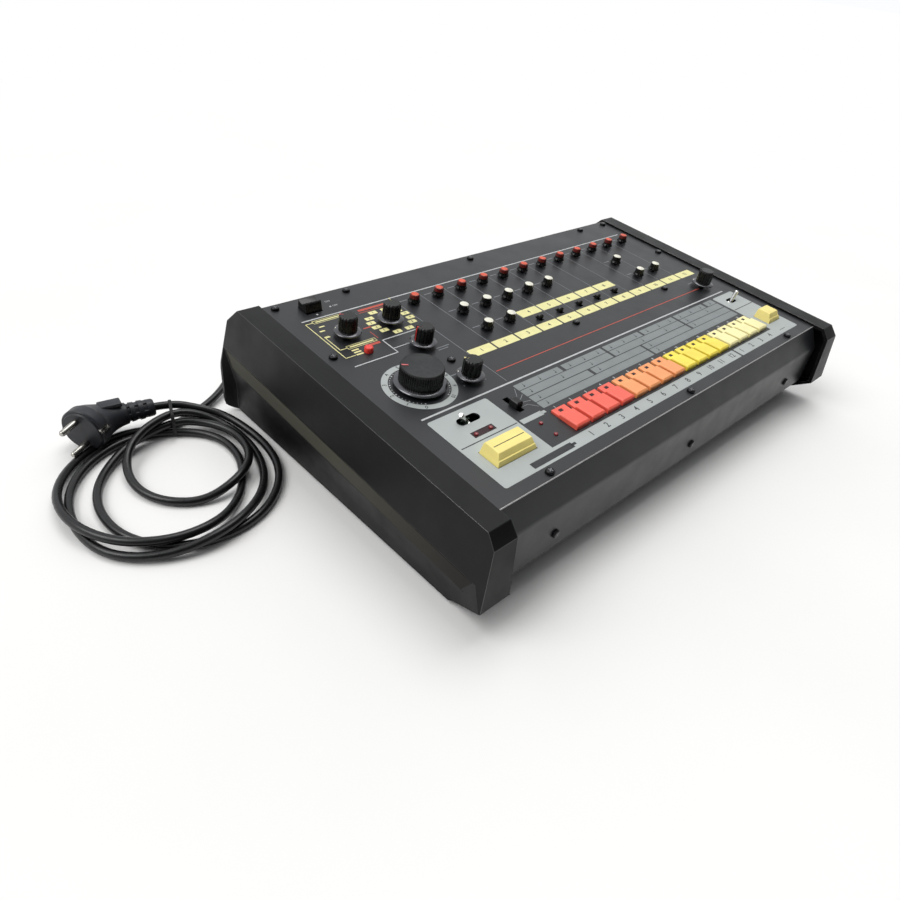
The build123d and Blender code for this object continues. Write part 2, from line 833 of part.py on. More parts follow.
# ---------------------------------------------------------------- transformer
with BuildPart() as transformer:
    with BuildSketch(Plane.XY.offset(floor_height)):
        with Locations((transformer_x, transformer_y)):
            Rectangle(transformer_width + 2 * bracket_reach, bracket_width)
    extrude(amount=bracket_thickness)
    with BuildSketch(Plane.XY.offset(floor_height)):
        with Locations((transformer_x, transformer_y)):
            Rectangle(transformer_width, transformer_depth)
    extrude(amount=transformer_height)
    with BuildSketch(Plane.XZ.offset(-transformer_y)):
        with Locations((transformer_x, floor_height + transformer_height / 2)):
            Rectangle(transformer_width - 2 * core_limb, transformer_height - core_limb)
    extrude(amount=transformer_depth / 2 + coil_overhang, both=True)
    fillet(transformer.edges().filter_by(Axis.Z).group_by(Axis.Y)[0], radius=winding_fillet)
    fillet(transformer.edges().filter_by(Axis.Z).group_by(Axis.Y)[-1], radius=winding_fillet)

save(transformer.part, "transformer")

# ---------------------------------------------------------------- indicator lamps
led_spots = variation_led_spots + part_led_spots

with BuildPart() as indicator_leds:
    with BuildSketch(deck.offset(-sheet)):
        with Locations(variation_window_spot):
            Rectangle(variation_window_width - running, variation_window_length - running)
    extrude(amount=sheet - led_window_recess)
    with BuildSketch(deck.offset(-sheet - led_collar)):
        with Locations(*led_spots):
            Circle(led_radius - running)
    extrude(amount=sheet + led_collar + led_height)
    fillet(indicator_leds.faces().group_by(deck_normal)[-1].edges(), radius=led_height - running)
    with BuildSketch(board_top):
        for side in (-1, 1):
            with Locations(*[(spot[0] + side * led_lead_offset, spot[1]) for spot in led_spots]):
                Circle(led_lead_radius)
    extrude(amount=board_drop - sheet - led_collar)

save(indicator_leds.part, "indicator_leds")


# ---------------------------------------------------------------- keys
def step_key(spot):
    """Step key: a low tail with an LED window, then a raised pressing face that climbs to the front."""
    with BuildPart() as key:
        corner = (spot[0] - step_width / 2, spot[1] - step_length / 2)
        with BuildSketch(deck_side(corner)):
            with BuildLine():
                Polyline(
                    (0, -key_skirt),
                    (0, step_height - step_front_drop),
                    (step_front_bevel, step_height),
                    (step_length - step_tail - step_end_bevel, step_rise),
                    (step_length - step_tail, step_tail_height),
                    (step_length, step_tail_height),
                    (step_length, -key_skirt),
                    close=True,
                )
            make_face()
        extrude(amount=step_width)
        top = key.faces().filter_by(lambda face: face.normal_at().dot(deck.z_dir) > 0.9)
        pressing = top.sort_by(SortBy.AREA)[-1]
        chamfer(pressing.edges().filter_by(lambda edge: abs(edge.tangent_at(0).X) < 0.1), length=step_end_bevel)
        tail_middle = (spot[0] - step_window_shift, spot[1] + (step_length - step_tail) / 2)
        with BuildSketch(deck_at(tail_middle, step_tail_height - step_window_depth)):
            Rectangle(step_window_width, step_window_length)
        extrude(amount=step_window_depth * 2, mode=Mode.SUBTRACT)
        with BuildSketch(deck_at(spot, -key_stem_bottom_drop)):
            Rectangle(key_stem, key_stem)
        extrude(amount=key_stem_bottom_drop - key_skirt)
    return key.part


for number, spot in enumerate(step_spots, start=1):
    save(step_key(spot), f"step_key_{number}")


def bar_key(spot, size):
    """Tall key with a lip along its sloping front and slanted ends."""
    with BuildPart() as key:
        corner = (spot[0] - size[0] / 2, spot[1] - size[1] / 2)
        with BuildSketch(deck_side(corner)):
            with BuildLine():
                Polyline(
                    (0, -key_skirt),
                    (0, 0),
                    (bar_key_lip_depth, bar_key_lip_height),
                    (bar_key_lip_depth + bar_key_lip_top, bar_key_lip_height),
                    (bar_key_slope_top, bar_key_height),
                    (size[1] - knob_edge, bar_key_height),
                    (size[1], bar_key_height - knob_edge),
                    (size[1], -key_skirt),
                    close=True,
                )
            make_face()
        extrude(amount=size[0])
        for side in (-1, 1):
            end_top = size[0] / 2 - bar_key_end_inset
            with BuildSketch(deck_front(spot)):
                with BuildLine():
                    Polyline(
                        (side * size[0] / 2, 0),
                        (side * end_top, bar_key_height),
                        (side * end_top, bar_key_height + sheet),
                        (side * (size[0] / 2 + sheet), bar_key_height + sheet),
                        (side * (size[0] / 2 + sheet), 0),
                        close=True,
                    )
                make_face()
            extrude(amount=size[1], both=True, mode=Mode.SUBTRACT)
        with BuildSketch(deck_at(spot, -key_stem_bottom_drop)):
            Rectangle(key_stem, key_stem)
        extrude(amount=key_stem_bottom_drop - key_skirt)
    return key.part


save(bar_key(start_spot, start_size), "start_stop_key")
save(bar_key(tap_spot, tap_size), "tap_key")


# ---------------------------------------------------------------- knobs
def turned(spot, profile, shaft_radius):
    """Knob turned from a half profile of (radius, height) points, with its shaft below it."""
    with BuildPart() as knob:
        with BuildSketch(deck_front(spot)):
            with BuildLine():
                Polyline((0, profile[0][1]), *profile, (0, profile[-1][1]), close=True)
            make_face()
        revolve(axis=Axis(deck_at(spot).origin, deck.z_dir))
        with BuildSketch(deck_at(spot, -shaft_bottom_drop)):
            Circle(shaft_radius)
        extrude(amount=shaft_bottom_drop + profile[0][1] + gap)
    return knob.part


def flute(knob, spot, radius, count, groove, low, high):
    """Cut upright grooves round a knob."""
    with BuildPart() as fluted:
        add(knob)
        with BuildSketch(deck_at(spot, low)):
            with PolarLocations(radius, count):
                Circle(groove)
        extrude(amount=high - low, mode=Mode.SUBTRACT)
    return fluted.part


level_profile = [
    (level_knob_radius, level_knob_lift),
    (level_knob_radius, level_knob_lift + level_knob_rim),
    (level_knob_waist_radius, level_knob_foot),
    (level_knob_top_radius, level_knob_height - gap),
    (level_knob_top_radius - gap, level_knob_height),
]
selector_profile = [
    (selector_skirt_radius, selector_skirt_lift),
    (selector_skirt_radius, selector_skirt_lift + knob_edge),
    (selector_body_radius + knob_edge, selector_skirt_height),
    (selector_body_radius, selector_skirt_height + knob_edge),
    (selector_body_radius, selector_knob_height - knob_edge),
    (selector_body_radius - knob_edge, selector_knob_height),
]
tempo_profile = [
    (tempo_skirt_radius, tempo_skirt_lift),
    (tempo_skirt_radius, tempo_skirt_lift + knob_edge),
    (tempo_body_radius + knob_edge, tempo_skirt_height),
    (tempo_body_radius, tempo_skirt_height + knob_edge),
    (tempo_body_radius, tempo_height - knob_edge),
    (tempo_body_radius - knob_edge, tempo_height),
]
clear_profile = [
    (clear_radius, -clear_skirt),
    (clear_radius, clear_height - knob_edge),
    (clear_radius - knob_edge, clear_height),
]

for number, spot in enumerate(level_spots, start=1):
    save(turned(spot, level_profile, small_shaft_radius), f"level_knob_{number}")

tone_knobs = Compound(children=[turned(spot, level_profile, small_shaft_radius) for spot in tone_spots])
save(tone_knobs, "tone_knobs")

for name, spot in (
    ("mode_knob", mode_spot),
    ("instrument_knob", instrument_spot),
    ("fill_knob", fill_spot),
    ("fine_tempo_knob", fine_spot),
    ("volume_knob", volume_spot),
):
    save(turned(spot, selector_profile, large_shaft_radius), name)

tempo_blank = turned(tempo_spot, tempo_profile, large_shaft_radius)
save(
    flute(tempo_blank, tempo_spot, tempo_body_radius + tempo_flute_radius / 2, tempo_flute_count,
          tempo_flute_radius, tempo_skirt_height + 2 * knob_edge, tempo_height - 2 * knob_edge),
    "tempo_knob",
)

save(turned(clear_spot, clear_profile, small_shaft_radius), "clear_button")

# ---------------------------------------------------------------- switches
def tilted(pivot, turn):
    """Pivot's plane turned about the pivot, by an angle in radians from its y towards its x."""
    return Plane(origin=pivot.origin, x_dir=pivot.x_dir * cos(turn) - pivot.y_dir * sin(turn), z_dir=pivot.z_dir)


rocker_half = rocker_length / 2
rocker_top = rocker_pivot_depth + rocker_height
rocker_plane = tilted(rocker_pivot, radians(rocker_rest))

with BuildPart() as power_rocker:
    with BuildSketch(rocker_plane):
        with BuildLine():
            Polyline(
                (-rocker_half + knob_edge, rocker_pivot_depth - rocker_depth),
                (-rocker_half, rocker_pivot_depth),
                (-rocker_half + knob_edge, rocker_top - knob_edge),
                (-rocker_half + 2 * knob_edge, rocker_top),
                (0, rocker_top - rocker_dip),
                (rocker_half - 2 * knob_edge, rocker_top),
                (rocker_half - knob_edge, rocker_top - knob_edge),
                (rocker_half, rocker_pivot_depth),
                (rocker_half - knob_edge, rocker_pivot_depth - rocker_depth),
                close=True,
            )
        make_face()
    extrude(amount=rocker_width / 2, both=True)
    with BuildSketch(rocker_plane):
        Circle(pin_radius)
    extrude(amount=rocker_width / 2 + pin_length, both=True)

save(power_rocker.part, "power_rocker")


def lever(pivot, lean):
    """Bat lever on a hub, turned by lean degrees from upright (positive to the right)."""
    upright = tilted(pivot, radians(lean))
    with BuildPart() as bat:
        with BuildSketch(upright):
            with BuildLine():
                Polyline(
                    (0, 0),
                    (lever_radius, 0),
                    (lever_tip_radius, lever_length - knob_edge),
                    (lever_tip_radius - knob_edge, lever_length),
                    (0, lever_length),
                    close=True,
                )
            make_face()
        revolve(axis=Axis(upright.origin, upright.y_dir))
        with BuildSketch(upright):
            Circle(lever_hub_radius)
        extrude(amount=lever_hub_width / 2, both=True)
        with BuildSketch(upright):
            Circle(pin_radius)
        extrude(amount=lever_hub_width / 2 + pin_length, both=True)
    return bat.part


save(lever(variation_pivot, -variation_lean), "variation_lever")
save(lever(fill_pivot, fill_lean), "fill_variation_lever")


def slider(spots, width_across, length, height, slot_width, stem_length):
    """Slide caps over their slots, each with a stem that reaches its switch."""
    with BuildPart() as caps:
        with BuildSketch(deck.offset(gap)):
            with Locations(*spots):
                Rectangle(width_across, length)
        extrude(amount=height - gap)
        chamfer(caps.faces().group_by(deck_normal)[-1].edges(), length=knob_edge)
        with BuildSketch(deck.offset(-slider_depth)):
            with Locations(*spots):
                Rectangle(slot_width - 2 * gap, stem_length)
        extrude(amount=slider_depth + gap)
    return caps.part


save(
    slider([prescale_spot], slider_width, slider_length, slider_height, prescale_slot_width, slider_stem_length),
    "prescale_slider",
)
save(
    slider(selector_spots, selector_tab_width, selector_tab_length, selector_tab_height,
           selector_slot_width, selector_tab_length),
    "selector_sliders",
)

# ---------------------------------------------------------------- mains cord
gland_plane = Plane(origin=(gland_x, rear_panel_y, gland_height), x_dir=(1, 0, 0), z_dir=(0, 1, 0))

with BuildPart() as cord_gland:
    with BuildSketch(gland_plane):
        Circle(gland_flange_radius)
    extrude(amount=gland_flange_depth)
    with BuildSketch(gland_plane):
        Circle(gland_root_radius)
    with BuildSketch(gland_plane.offset(gland_length)):
        Circle(gland_tip_radius)
    loft()
    with BuildSketch(gland_plane):
        Circle(gland_root_radius)
    extrude(amount=-3 * sheet)
    with BuildSketch(gland_plane.offset(-3 * sheet)):
        Circle(cord_radius)
    extrude(amount=gland_length + 3 * sheet, mode=Mode.SUBTRACT)

save(cord_gland.part, "cord_gland")


def bend_radii(points):
    """Radius of the arc at each inner point: as large as its two runs allow."""
    radii = []
    for before, here, after in zip(points, points[1:], points[2:]):
        run_in = Vector(*here) - Vector(*before)
        run_out = Vector(*after) - Vector(*here)
        half_turn = radians(run_in.get_angle(run_out)) / 2
        radii.append(0.45 * min(run_in.length, run_out.length) / tan(half_turn))
    return radii


cord_start = (gland_x, rear_panel_inner_y, gland_height)
route = [cord_start] + cord_route
radii = bend_radii(route)
print("cord bends:", [round(radius, 1) for radius in radii])

with BuildPart() as cord_tube:
    with BuildLine() as cord_path:
        FilletPolyline(*route, radius=radii)
    with BuildSketch(Plane(origin=cord_start, z_dir=(0, 1, 0))):
        Circle(cord_radius)
    sweep(path=cord_path.wires()[0])

print("cord tube:", round(cord_tube.part.volume), "mm3, section x length:",
      round(pi * cord_radius ** 2 * cord_path.wires()[0].length))

relief_way = Vector(cos(radians(plug_relief_heading)), sin(radians(plug_relief_heading)), 0)
plug_way = Vector(cos(radians(plug_heading)), sin(radians(plug_heading)), 0)
plug_back = Vector(*plug_centre) - plug_way * plug_relief_depth
relief_end = plug_back + relief_way * plug_relief_length

with BuildPart() as plug_lead:
    with BuildLine() as lead_path:
        Line(relief_end, (tie_spot[0], tie_spot[1], coil_height - cord_radius))
    with BuildSketch(Plane(origin=relief_end, z_dir=lead_path.line % 0)):
        Circle(cord_radius)
    sweep()

save(Compound(children=[cord_tube.part.solids()[0], plug_lead.part.solids()[0]]), "cord_tube")

with BuildPart() as cord_coil:
    with BuildSketch(Plane.XY):
        with Locations(coil_centre):
            Ellipse(*coil_outer)
        with Locations(coil_eye_centre):
            Ellipse(*coil_eye, mode=Mode.SUBTRACT)
    extrude(amount=coil_height)
    chamfer(cord_coil.edges().group_by(Axis.Z)[-1], length=cord_radius)

save(cord_coil.part, "cord_coil")

with BuildPart() as cord_tie:
    with BuildSketch(Plane(origin=(tie_spot[0], tie_spot[1], tie_height / 2), z_dir=tie_way)):
        RectangleRounded(tie_span, tie_height, tie_corner)
        offset(amount=-tie_thickness, mode=Mode.SUBTRACT)
    extrude(amount=tie_width / 2, both=True)

save(cord_tie.part, "cord_tie")

plug_plane = Plane(origin=plug_centre, x_dir=(0, 0, 1), z_dir=plug_way)

with BuildPart() as plug:
    with BuildSketch(plug_plane):
        Circle(plug_radius)
    extrude(amount=-plug_face_depth)
    with BuildSketch(plug_plane.offset(-plug_face_depth)):
        Circle(plug_radius - plug_rim)
    with BuildSketch(plug_plane.offset(-plug_face_depth - plug_back_depth)):
        Circle(plug_back_radius)
    loft()
    with BuildSketch(Plane(origin=plug_back, z_dir=relief_way)):
        Circle(plug_relief_root)
    with BuildSketch(Plane(origin=relief_end, z_dir=relief_way)):
        Circle(plug_relief_tip)
    loft()
    with BuildSketch(plug_plane):
        with Locations((plug_pin_spacing / 2, 0), (-plug_pin_spacing / 2, 0)):
            Circle(plug_pin_radius)
    extrude(amount=plug_pin_length)

save(plug.part, "plug")
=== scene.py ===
"""Looks of a drum machine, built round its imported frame.

Blender's units are metres. Each piece is modelled in millimetres and moved to its place as it is finished.
On the panel, u runs across, v up its slope from the front edge, and h away from its face.
"""

import math

import bmesh
import bpy
from mathutils import Matrix, Vector


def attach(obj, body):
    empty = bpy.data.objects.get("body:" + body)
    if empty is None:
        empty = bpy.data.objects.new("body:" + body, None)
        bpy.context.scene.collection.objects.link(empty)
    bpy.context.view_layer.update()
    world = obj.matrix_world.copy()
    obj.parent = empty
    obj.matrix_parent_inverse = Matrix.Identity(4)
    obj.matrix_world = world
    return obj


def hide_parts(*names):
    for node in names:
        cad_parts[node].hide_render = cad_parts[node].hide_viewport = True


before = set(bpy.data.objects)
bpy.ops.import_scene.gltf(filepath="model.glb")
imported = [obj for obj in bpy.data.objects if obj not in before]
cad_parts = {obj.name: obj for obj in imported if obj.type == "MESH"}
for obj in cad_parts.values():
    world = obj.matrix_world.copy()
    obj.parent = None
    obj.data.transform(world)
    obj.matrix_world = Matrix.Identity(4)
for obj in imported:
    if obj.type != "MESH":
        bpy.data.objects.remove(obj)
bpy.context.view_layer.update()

# ---------------------------------------------------------------- places
MM = 0.001
MILLIMETRES = Matrix.Scale(MM, 4)
PANEL_SLOPE = math.radians(3.92)
PANEL = Matrix.Translation((0, -0.13515, 0.0813)) @ Matrix.Rotation(PANEL_SLOPE, 4, "X") @ MILLIMETRES
STANDING = "casing"           # body of everything that doesn't move
INK = 0.06                    # how far a print stands on the panel
RIGHT_STRENGTH = 0.95         # of the two soft lights
LEFT_STRENGTH = 1.25
ROOM_BACK = 0.9               # light from the far side of the room, and from the player's side
ROOM_FRONT = 0.08

# Voice columns are counted from 1, from left to right. Rows are heights up the panel's slope.
COLUMN_FIRST = -107.9
COLUMN_PITCH = 27.97
COLUMN_COUNT = 12
LEVEL_ROW = 219.5
TONE_ROW = 187.0
TUNING_ROW = 157.0
TONE_COLUMNS = (2, 3, 4, 5, 6, 10)
TUNING_COLUMNS = (2, 3, 10, 11)
SELECTOR_COLUMNS = (4, 5, 6, 7, 8)
STEP_FIRST = -114.4           # middle of the first step key
STEP_PITCH = 18.56
STEP_COUNT = 16
TEMPO_SPOT = (-184.0, 122.8)
TEMPO_POINTING = 147.0
TEMPO_ZERO = 240.0            # direction of the dial's 0, and the turn from each figure to the next
TEMPO_TURN = 30.0
TEMPO_TICKS = 4               # from each figure to the next
FINE_TEMPO_SPOT = (-144.8, 110.6)
VOLUME_SPOT = (191.5, 109.0)
LEVEL_POINTING = 120.0
TONE_POINTING = -70.0
TONE_SCATTER = 13.0           # how far the tone knobs are turned from each other
PANEL_SCREWS = [
    (-217.5, 262), (-148.5, 262), (1, 262), (177, 262), (220, 262), (-217.5, 182.5), (220, 182.5),
    (-140.5, 136), (1.5, 125), (145.5, 125), (-173, 5.5), (2.5, 5.5), (179, 5.5),
]
PART_LAMPS = [(-138.7, 43.6), (-138.7, 29.4)]
VARIATION_LAMPS = [(-187.5, 59.8), (-173.5, 59.8)]
LIP_SCREWS = (-173, 2.5, 179)
LIP_SCREW_HEIGHT = 39.0
LIP_FACE = -145.15            # front face of the casing's lip


def rotation(degrees, axis):
    return Matrix.Rotation(math.radians(degrees), 4, axis)


def on_panel(u, v, h=0.0, turn=0.0):
    """Transform from millimetres about the origin to a place on the panel, turned by degrees."""
    return PANEL @ Matrix.Translation((u, v, h)) @ rotation(turn, "Z")


def column_u(number):
    """Place across the panel of a voice column, counted from 1."""
    return COLUMN_FIRST + (number - 1) * COLUMN_PITCH


def step_u(number):
    """Place across the panel of a step key's middle, counted from 0."""
    return STEP_FIRST + number * STEP_PITCH


# ---------------------------------------------------------------- materials
def shade(red, green, blue):
    """Linear colour of a tone given in 0 to 255."""
    tones = [tone / 255 for tone in (red, green, blue)]
    return tuple(t / 12.92 if t <= 0.04045 else ((t + 0.055) / 1.055) ** 2.4 for t in tones) + (1.0,)


class Finish:
    """A material and the few nodes that most finishes here are made of."""

    def __init__(self, name, roughness, metallic=0.0, specular=0.5, coat=0.0):
        self.material = bpy.data.materials.new(name)
        self.material.use_nodes = True
        self.tree = self.material.node_tree
        self.shader = self.tree.nodes["Principled BSDF"]
        self.shader.inputs["Roughness"].default_value = roughness
        self.shader.inputs["Metallic"].default_value = metallic
        self.shader.inputs["Specular IOR Level"].default_value = specular
        self.shader.inputs["Coat Weight"].default_value = coat
        self.shader.inputs["Coat Roughness"].default_value = 0.12
        self.place = self.tree.nodes.new("ShaderNodeTexCoord").outputs["Object"]

    def link(self, start, end):
        self.tree.links.new(start, end)

    def cloud(self, size, detail=3.0):
        """Noise whose spots are about size millimetres across."""
        noise = self.tree.nodes.new("ShaderNodeTexNoise")
        noise.inputs["Scale"].default_value = 1 / (size * MM)
        noise.inputs["Detail"].default_value = detail
        self.link(self.place, noise.inputs["Vector"])
        return noise.outputs["Fac"]

    def spread(self, fac, low, high):
        """Noise stretched from its usual middle range to low and high."""
        reach = self.tree.nodes.new("ShaderNodeMapRange")
        reach.inputs["From Min"].default_value = 0.3
        reach.inputs["From Max"].default_value = 0.7
        reach.inputs["To Min"].default_value = low
        reach.inputs["To Max"].default_value = high
        self.link(fac, reach.inputs["Value"])
        return reach.outputs["Result"]

    def colour(self, fac, dark, light):
        """Base colour between two tones."""
        mix = self.tree.nodes.new("ShaderNodeMix")
        mix.data_type = "RGBA"
        mix.inputs["A"].default_value = dark
        mix.inputs["B"].default_value = light
        self.link(fac, mix.inputs["Factor"])
        self.link(mix.outputs["Result"], self.shader.inputs["Base Color"])

    def relief(self, fac, depth):
        """Bump of a depth in millimetres."""
        bump = self.tree.nodes.new("ShaderNodeBump")
        bump.inputs["Distance"].default_value = depth * MM
        self.link(fac, bump.inputs["Height"])
        self.link(bump.outputs["Normal"], self.shader.inputs["Normal"])


def coloured(name, tone, roughness, mottle=0.1, mottle_size=25.0, grain=0.0, grain_size=0.6, **settings):
    """Finish with a slightly uneven tone and gloss, and a fine grain."""
    finish = Finish(name, roughness, **settings)
    base = shade(*tone)
    dark = tuple(c * (1 - mottle) for c in base[:3]) + (1.0,)
    light = tuple(min(c * (1 + mottle), 1.0) for c in base[:3]) + (1.0,)
    uneven = finish.cloud(mottle_size)
    finish.colour(finish.spread(uneven, 0.0, 1.0), dark, light)
    handled = finish.cloud(mottle_size * 0.4, 4.0)
    gloss = finish.spread(handled, roughness * 0.85, roughness * 1.15)
    finish.link(gloss, finish.shader.inputs["Roughness"])
    if grain:
        finish.relief(finish.cloud(grain_size, 2.0), grain)
    return finish.material


# Name, tone from 0 to 255, roughness, unevenness and its size, then depth and size of the grain.
panel_paint = coloured("panel_paint", (25, 26, 29), 0.38, 0.06, 60.0, 0.02, 0.5, specular=0.5)
tray_paint = coloured("tray_paint", (22, 22, 23), 0.5, 0.1, 40.0, 0.02, 0.6, specular=0.35)
cheek_plastic = coloured("cheek_plastic", (8, 8, 9), 0.42, 0.12, 50.0, specular=0.2)
# lighter grey on the cheeks' rounded edges: a painted highlight
cheek_edge_highlight = coloured("cheek_edge_highlight", (82, 82, 84), 0.22, 0.1, 30.0, specular=0.9)
# light grey along the panel's front fold: a painted highlight
fold_highlight_grey = coloured("fold_highlight_grey", (176, 175, 173), 0.3, 0.15, 2.0, metallic=0.5)
screw_black = coloured("screw_black", (26, 26, 28), 0.3, 0.2, 3.0, metallic=0.6)
# black of the cord tie, and painted shade in the plug's earth recesses and the grips' grooves
tie_black_and_recess_shade = coloured("tie_black_and_recess_shade", (8, 8, 8), 0.7, 0.2, 3.0)
# light grey on the crosses of the screws: painted glints
screw_glint_grey = coloured("screw_glint_grey", (120, 121, 124), 0.35, 0.2, 3.0, metallic=0.8)
foot_rubber = coloured("foot_rubber", (24, 24, 24), 0.8, 0.2, 6.0, 0.05, 0.8)
board_green = coloured("board_green", (22, 42, 26), 0.5, 0.15, 9.0, 0.03, 1.2, specular=0.3)
lamination_steel = coloured("lamination_steel", (120, 116, 108), 0.45, 0.15, 6.0, metallic=0.8)
socket_nickel = coloured("socket_nickel", (170, 168, 162), 0.25, 0.1, 6.0, metallic=1.0)
knob_plastic = coloured("knob_plastic", (14, 14, 15), 0.28, 0.15, 9.0, 0.02, 0.5, specular=0.4)
skirt_polished = coloured("skirt_polished", (96, 96, 99), 0.22, 0.12, 6.0, metallic=0.85)
knob_crown = coloured("knob_crown", (44, 45, 46), 0.55, 0.12, 8.0, 0.02, 0.5, specular=0.3)
cap_orange = coloured("cap_orange", (222, 78, 40), 0.4, 0.1, 3.0)
# darker copy of the cap orange for the knobs' collars and rims: painted shade
cap_orange_shaded = coloured("cap_orange_shaded", (104, 26, 18), 0.4, 0.1, 3.0)
cap_white = coloured("cap_white", (232, 230, 214), 0.4, 0.06, 3.0)
pointer_pink = coloured("pointer_pink", (205, 92, 92), 0.45, 0.1, 3.0)
pointer_red = coloured("pointer_red", (186, 44, 40), 0.45, 0.1, 3.0)
pointer_cream = coloured("pointer_cream", (236, 226, 160), 0.45, 0.08, 3.0)
key_red = coloured("key_red", (240, 98, 80), 0.38, 0.06, 14.0, 0.01, 0.4)
key_orange = coloured("key_orange", (243, 158, 98), 0.38, 0.06, 14.0, 0.01, 0.4)
key_yellow = coloured("key_yellow", (245, 222, 78), 0.38, 0.06, 14.0, 0.01, 0.4)
key_cream = coloured("key_cream", (246, 236, 172), 0.38, 0.06, 14.0, 0.01, 0.4)
bar_key_cream = coloured("bar_key_cream", (246, 228, 136), 0.4, 0.05, 12.0, 0.01, 0.4)
button_red = coloured("button_red", (232, 62, 54), 0.25, 0.08, 4.0)
lamp_window = coloured("lamp_window", (46, 22, 26), 0.45, 0.2, 2.0, specular=0.3)
lamp_red = coloured("lamp_red", (128, 12, 22), 0.12, 0.2, 2.0, coat=0.6)
lever_nickel = coloured("lever_nickel", (236, 236, 232), 0.28, 0.08, 3.0, metallic=1.0)
cord_vinyl = coloured("cord_vinyl", (14, 14, 16), 0.3, 0.12, 12.0, specular=0.45)
plug_vinyl = coloured("plug_vinyl", (40, 41, 46), 0.45, 0.12, 8.0, 0.03, 0.8, specular=0.4)
ink_white = coloured("ink_white", (188, 190, 190), 0.5, 0.1, 4.0)
ink_dim = coloured("ink_dim", (120, 124, 128), 0.5, 0.1, 4.0)
ink_cream = coloured("ink_cream", (232, 226, 160), 0.5, 0.05, 6.0)
ink_red = coloured("ink_red", (190, 72, 52), 0.5, 0.1, 4.0)
ink_plate = coloured("ink_plate", (168, 174, 172), 0.45, 0.04, 30.0)
ink_grid = coloured("ink_grid", (124, 130, 130), 0.48, 0.05, 20.0)
ink_figure = coloured("ink_figure", (52, 54, 56), 0.5, 0.1, 6.0)
ink_dark = coloured("ink_dark", (30, 31, 34), 0.5, 0.1, 6.0)


GRIP_SHADE_FROM = -130.0         # darkest and lightest place of the grip band's painted shade, from front to rear
GRIP_SHADE_TO = 0.0


def olive_finish():
    """Rough olive plastic, lighter than the cheek partly as painted light on the grip's lit face, and darker
    towards the front as painted shade.
    """
    finish = Finish("grip_olive", 0.7, specular=0.2)
    along = finish.tree.nodes.new("ShaderNodeSeparateXYZ")
    finish.link(finish.place, along.inputs["Vector"])
    fade = finish.tree.nodes.new("ShaderNodeMapRange")
    fade.inputs["From Min"].default_value = GRIP_SHADE_FROM * MM
    fade.inputs["From Max"].default_value = GRIP_SHADE_TO * MM
    finish.link(along.outputs["Y"], fade.inputs["Value"])
    # lighter at the rear and darker towards the front: painted shade
    finish.colour(fade.outputs["Result"], shade(30, 26, 23), shade(70, 69, 60))
    finish.relief(finish.cloud(0.9, 2.0), 0.03)
    return finish.material


grip_olive = olive_finish()


# ---------------------------------------------------------------- making pieces
def keep(name, mesh, material, body, sharp=35.0):
    """Mesh in metres, in its place, as a piece that moves with a body."""
    mesh.materials.clear()
    mesh.materials.append(material)
    mesh.shade_smooth()
    mesh.set_sharp_from_angle(angle=math.radians(sharp))
    piece = bpy.data.objects.new(name, mesh)
    bpy.context.scene.collection.objects.link(piece)
    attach(piece, body)
    return piece


def finished(name, shape, place, material, body=STANDING, sharp=35.0):
    """Bmesh in millimetres, moved to its place."""
    bmesh.ops.transform(shape, matrix=place, verts=shape.verts)
    bmesh.ops.remove_doubles(shape, verts=shape.verts, dist=1e-7)
    bmesh.ops.recalc_face_normals(shape, faces=shape.faces)
    mesh = bpy.data.meshes.new(name)
    shape.to_mesh(mesh)
    shape.free()
    return keep(name, mesh, material, body, sharp)


def stamp(target, shape, place):
    """Add a bmesh to another, moved to its place there."""
    bmesh.ops.transform(shape, matrix=place, verts=shape.verts)
    shuttle = bpy.data.meshes.new("shuttle")
    shape.to_mesh(shuttle)
    shape.free()
    target.from_mesh(shuttle)
    bpy.data.meshes.remove(shuttle)


def turned(profile, steps=48):
    """Solid of revolution about z from (radius, height) points that start and end on the axis."""
    shape = bmesh.new()
    points = [shape.verts.new((radius, 0, height)) for radius, height in profile]
    edges = [shape.edges.new(pair) for pair in zip(points, points[1:])]
    bmesh.ops.spin(
        shape, geom=points + edges, cent=(0, 0, 0), axis=(0, 0, 1), angle=math.tau, steps=steps,
        use_merge=True,
    )
    bmesh.ops.remove_doubles(shape, verts=shape.verts, dist=1e-4)
    bmesh.ops.recalc_face_normals(shape, faces=shape.faces)
    return shape


def thicken(shape, reach):
    """Grow flat faces into a solid; their copies move by the reach."""
    raised = bmesh.ops.extrude_face_region(shape, geom=shape.faces[:])["geom"]
    corners = [part for part in raised if isinstance(part, bmesh.types.BMVert)]
    bmesh.ops.translate(shape, vec=reach, verts=corners)


def plate(width, length, height, corner=0.0):
    """Flat plate about the origin with its underside at height 0 and rounded corners."""
    shape = bmesh.new()
    bmesh.ops.create_grid(shape, x_segments=1, y_segments=1, size=0.5)
    bmesh.ops.scale(shape, vec=(width, length, 1), verts=shape.verts)
    if corner:
        bmesh.ops.bevel(
            shape, geom=shape.verts[:], offset=corner, segments=4, profile=0.5, affect="VERTICES",
            material=-1,
        )
    thicken(shape, (0, 0, height))
    bmesh.ops.recalc_face_normals(shape, faces=shape.faces)
    return shape


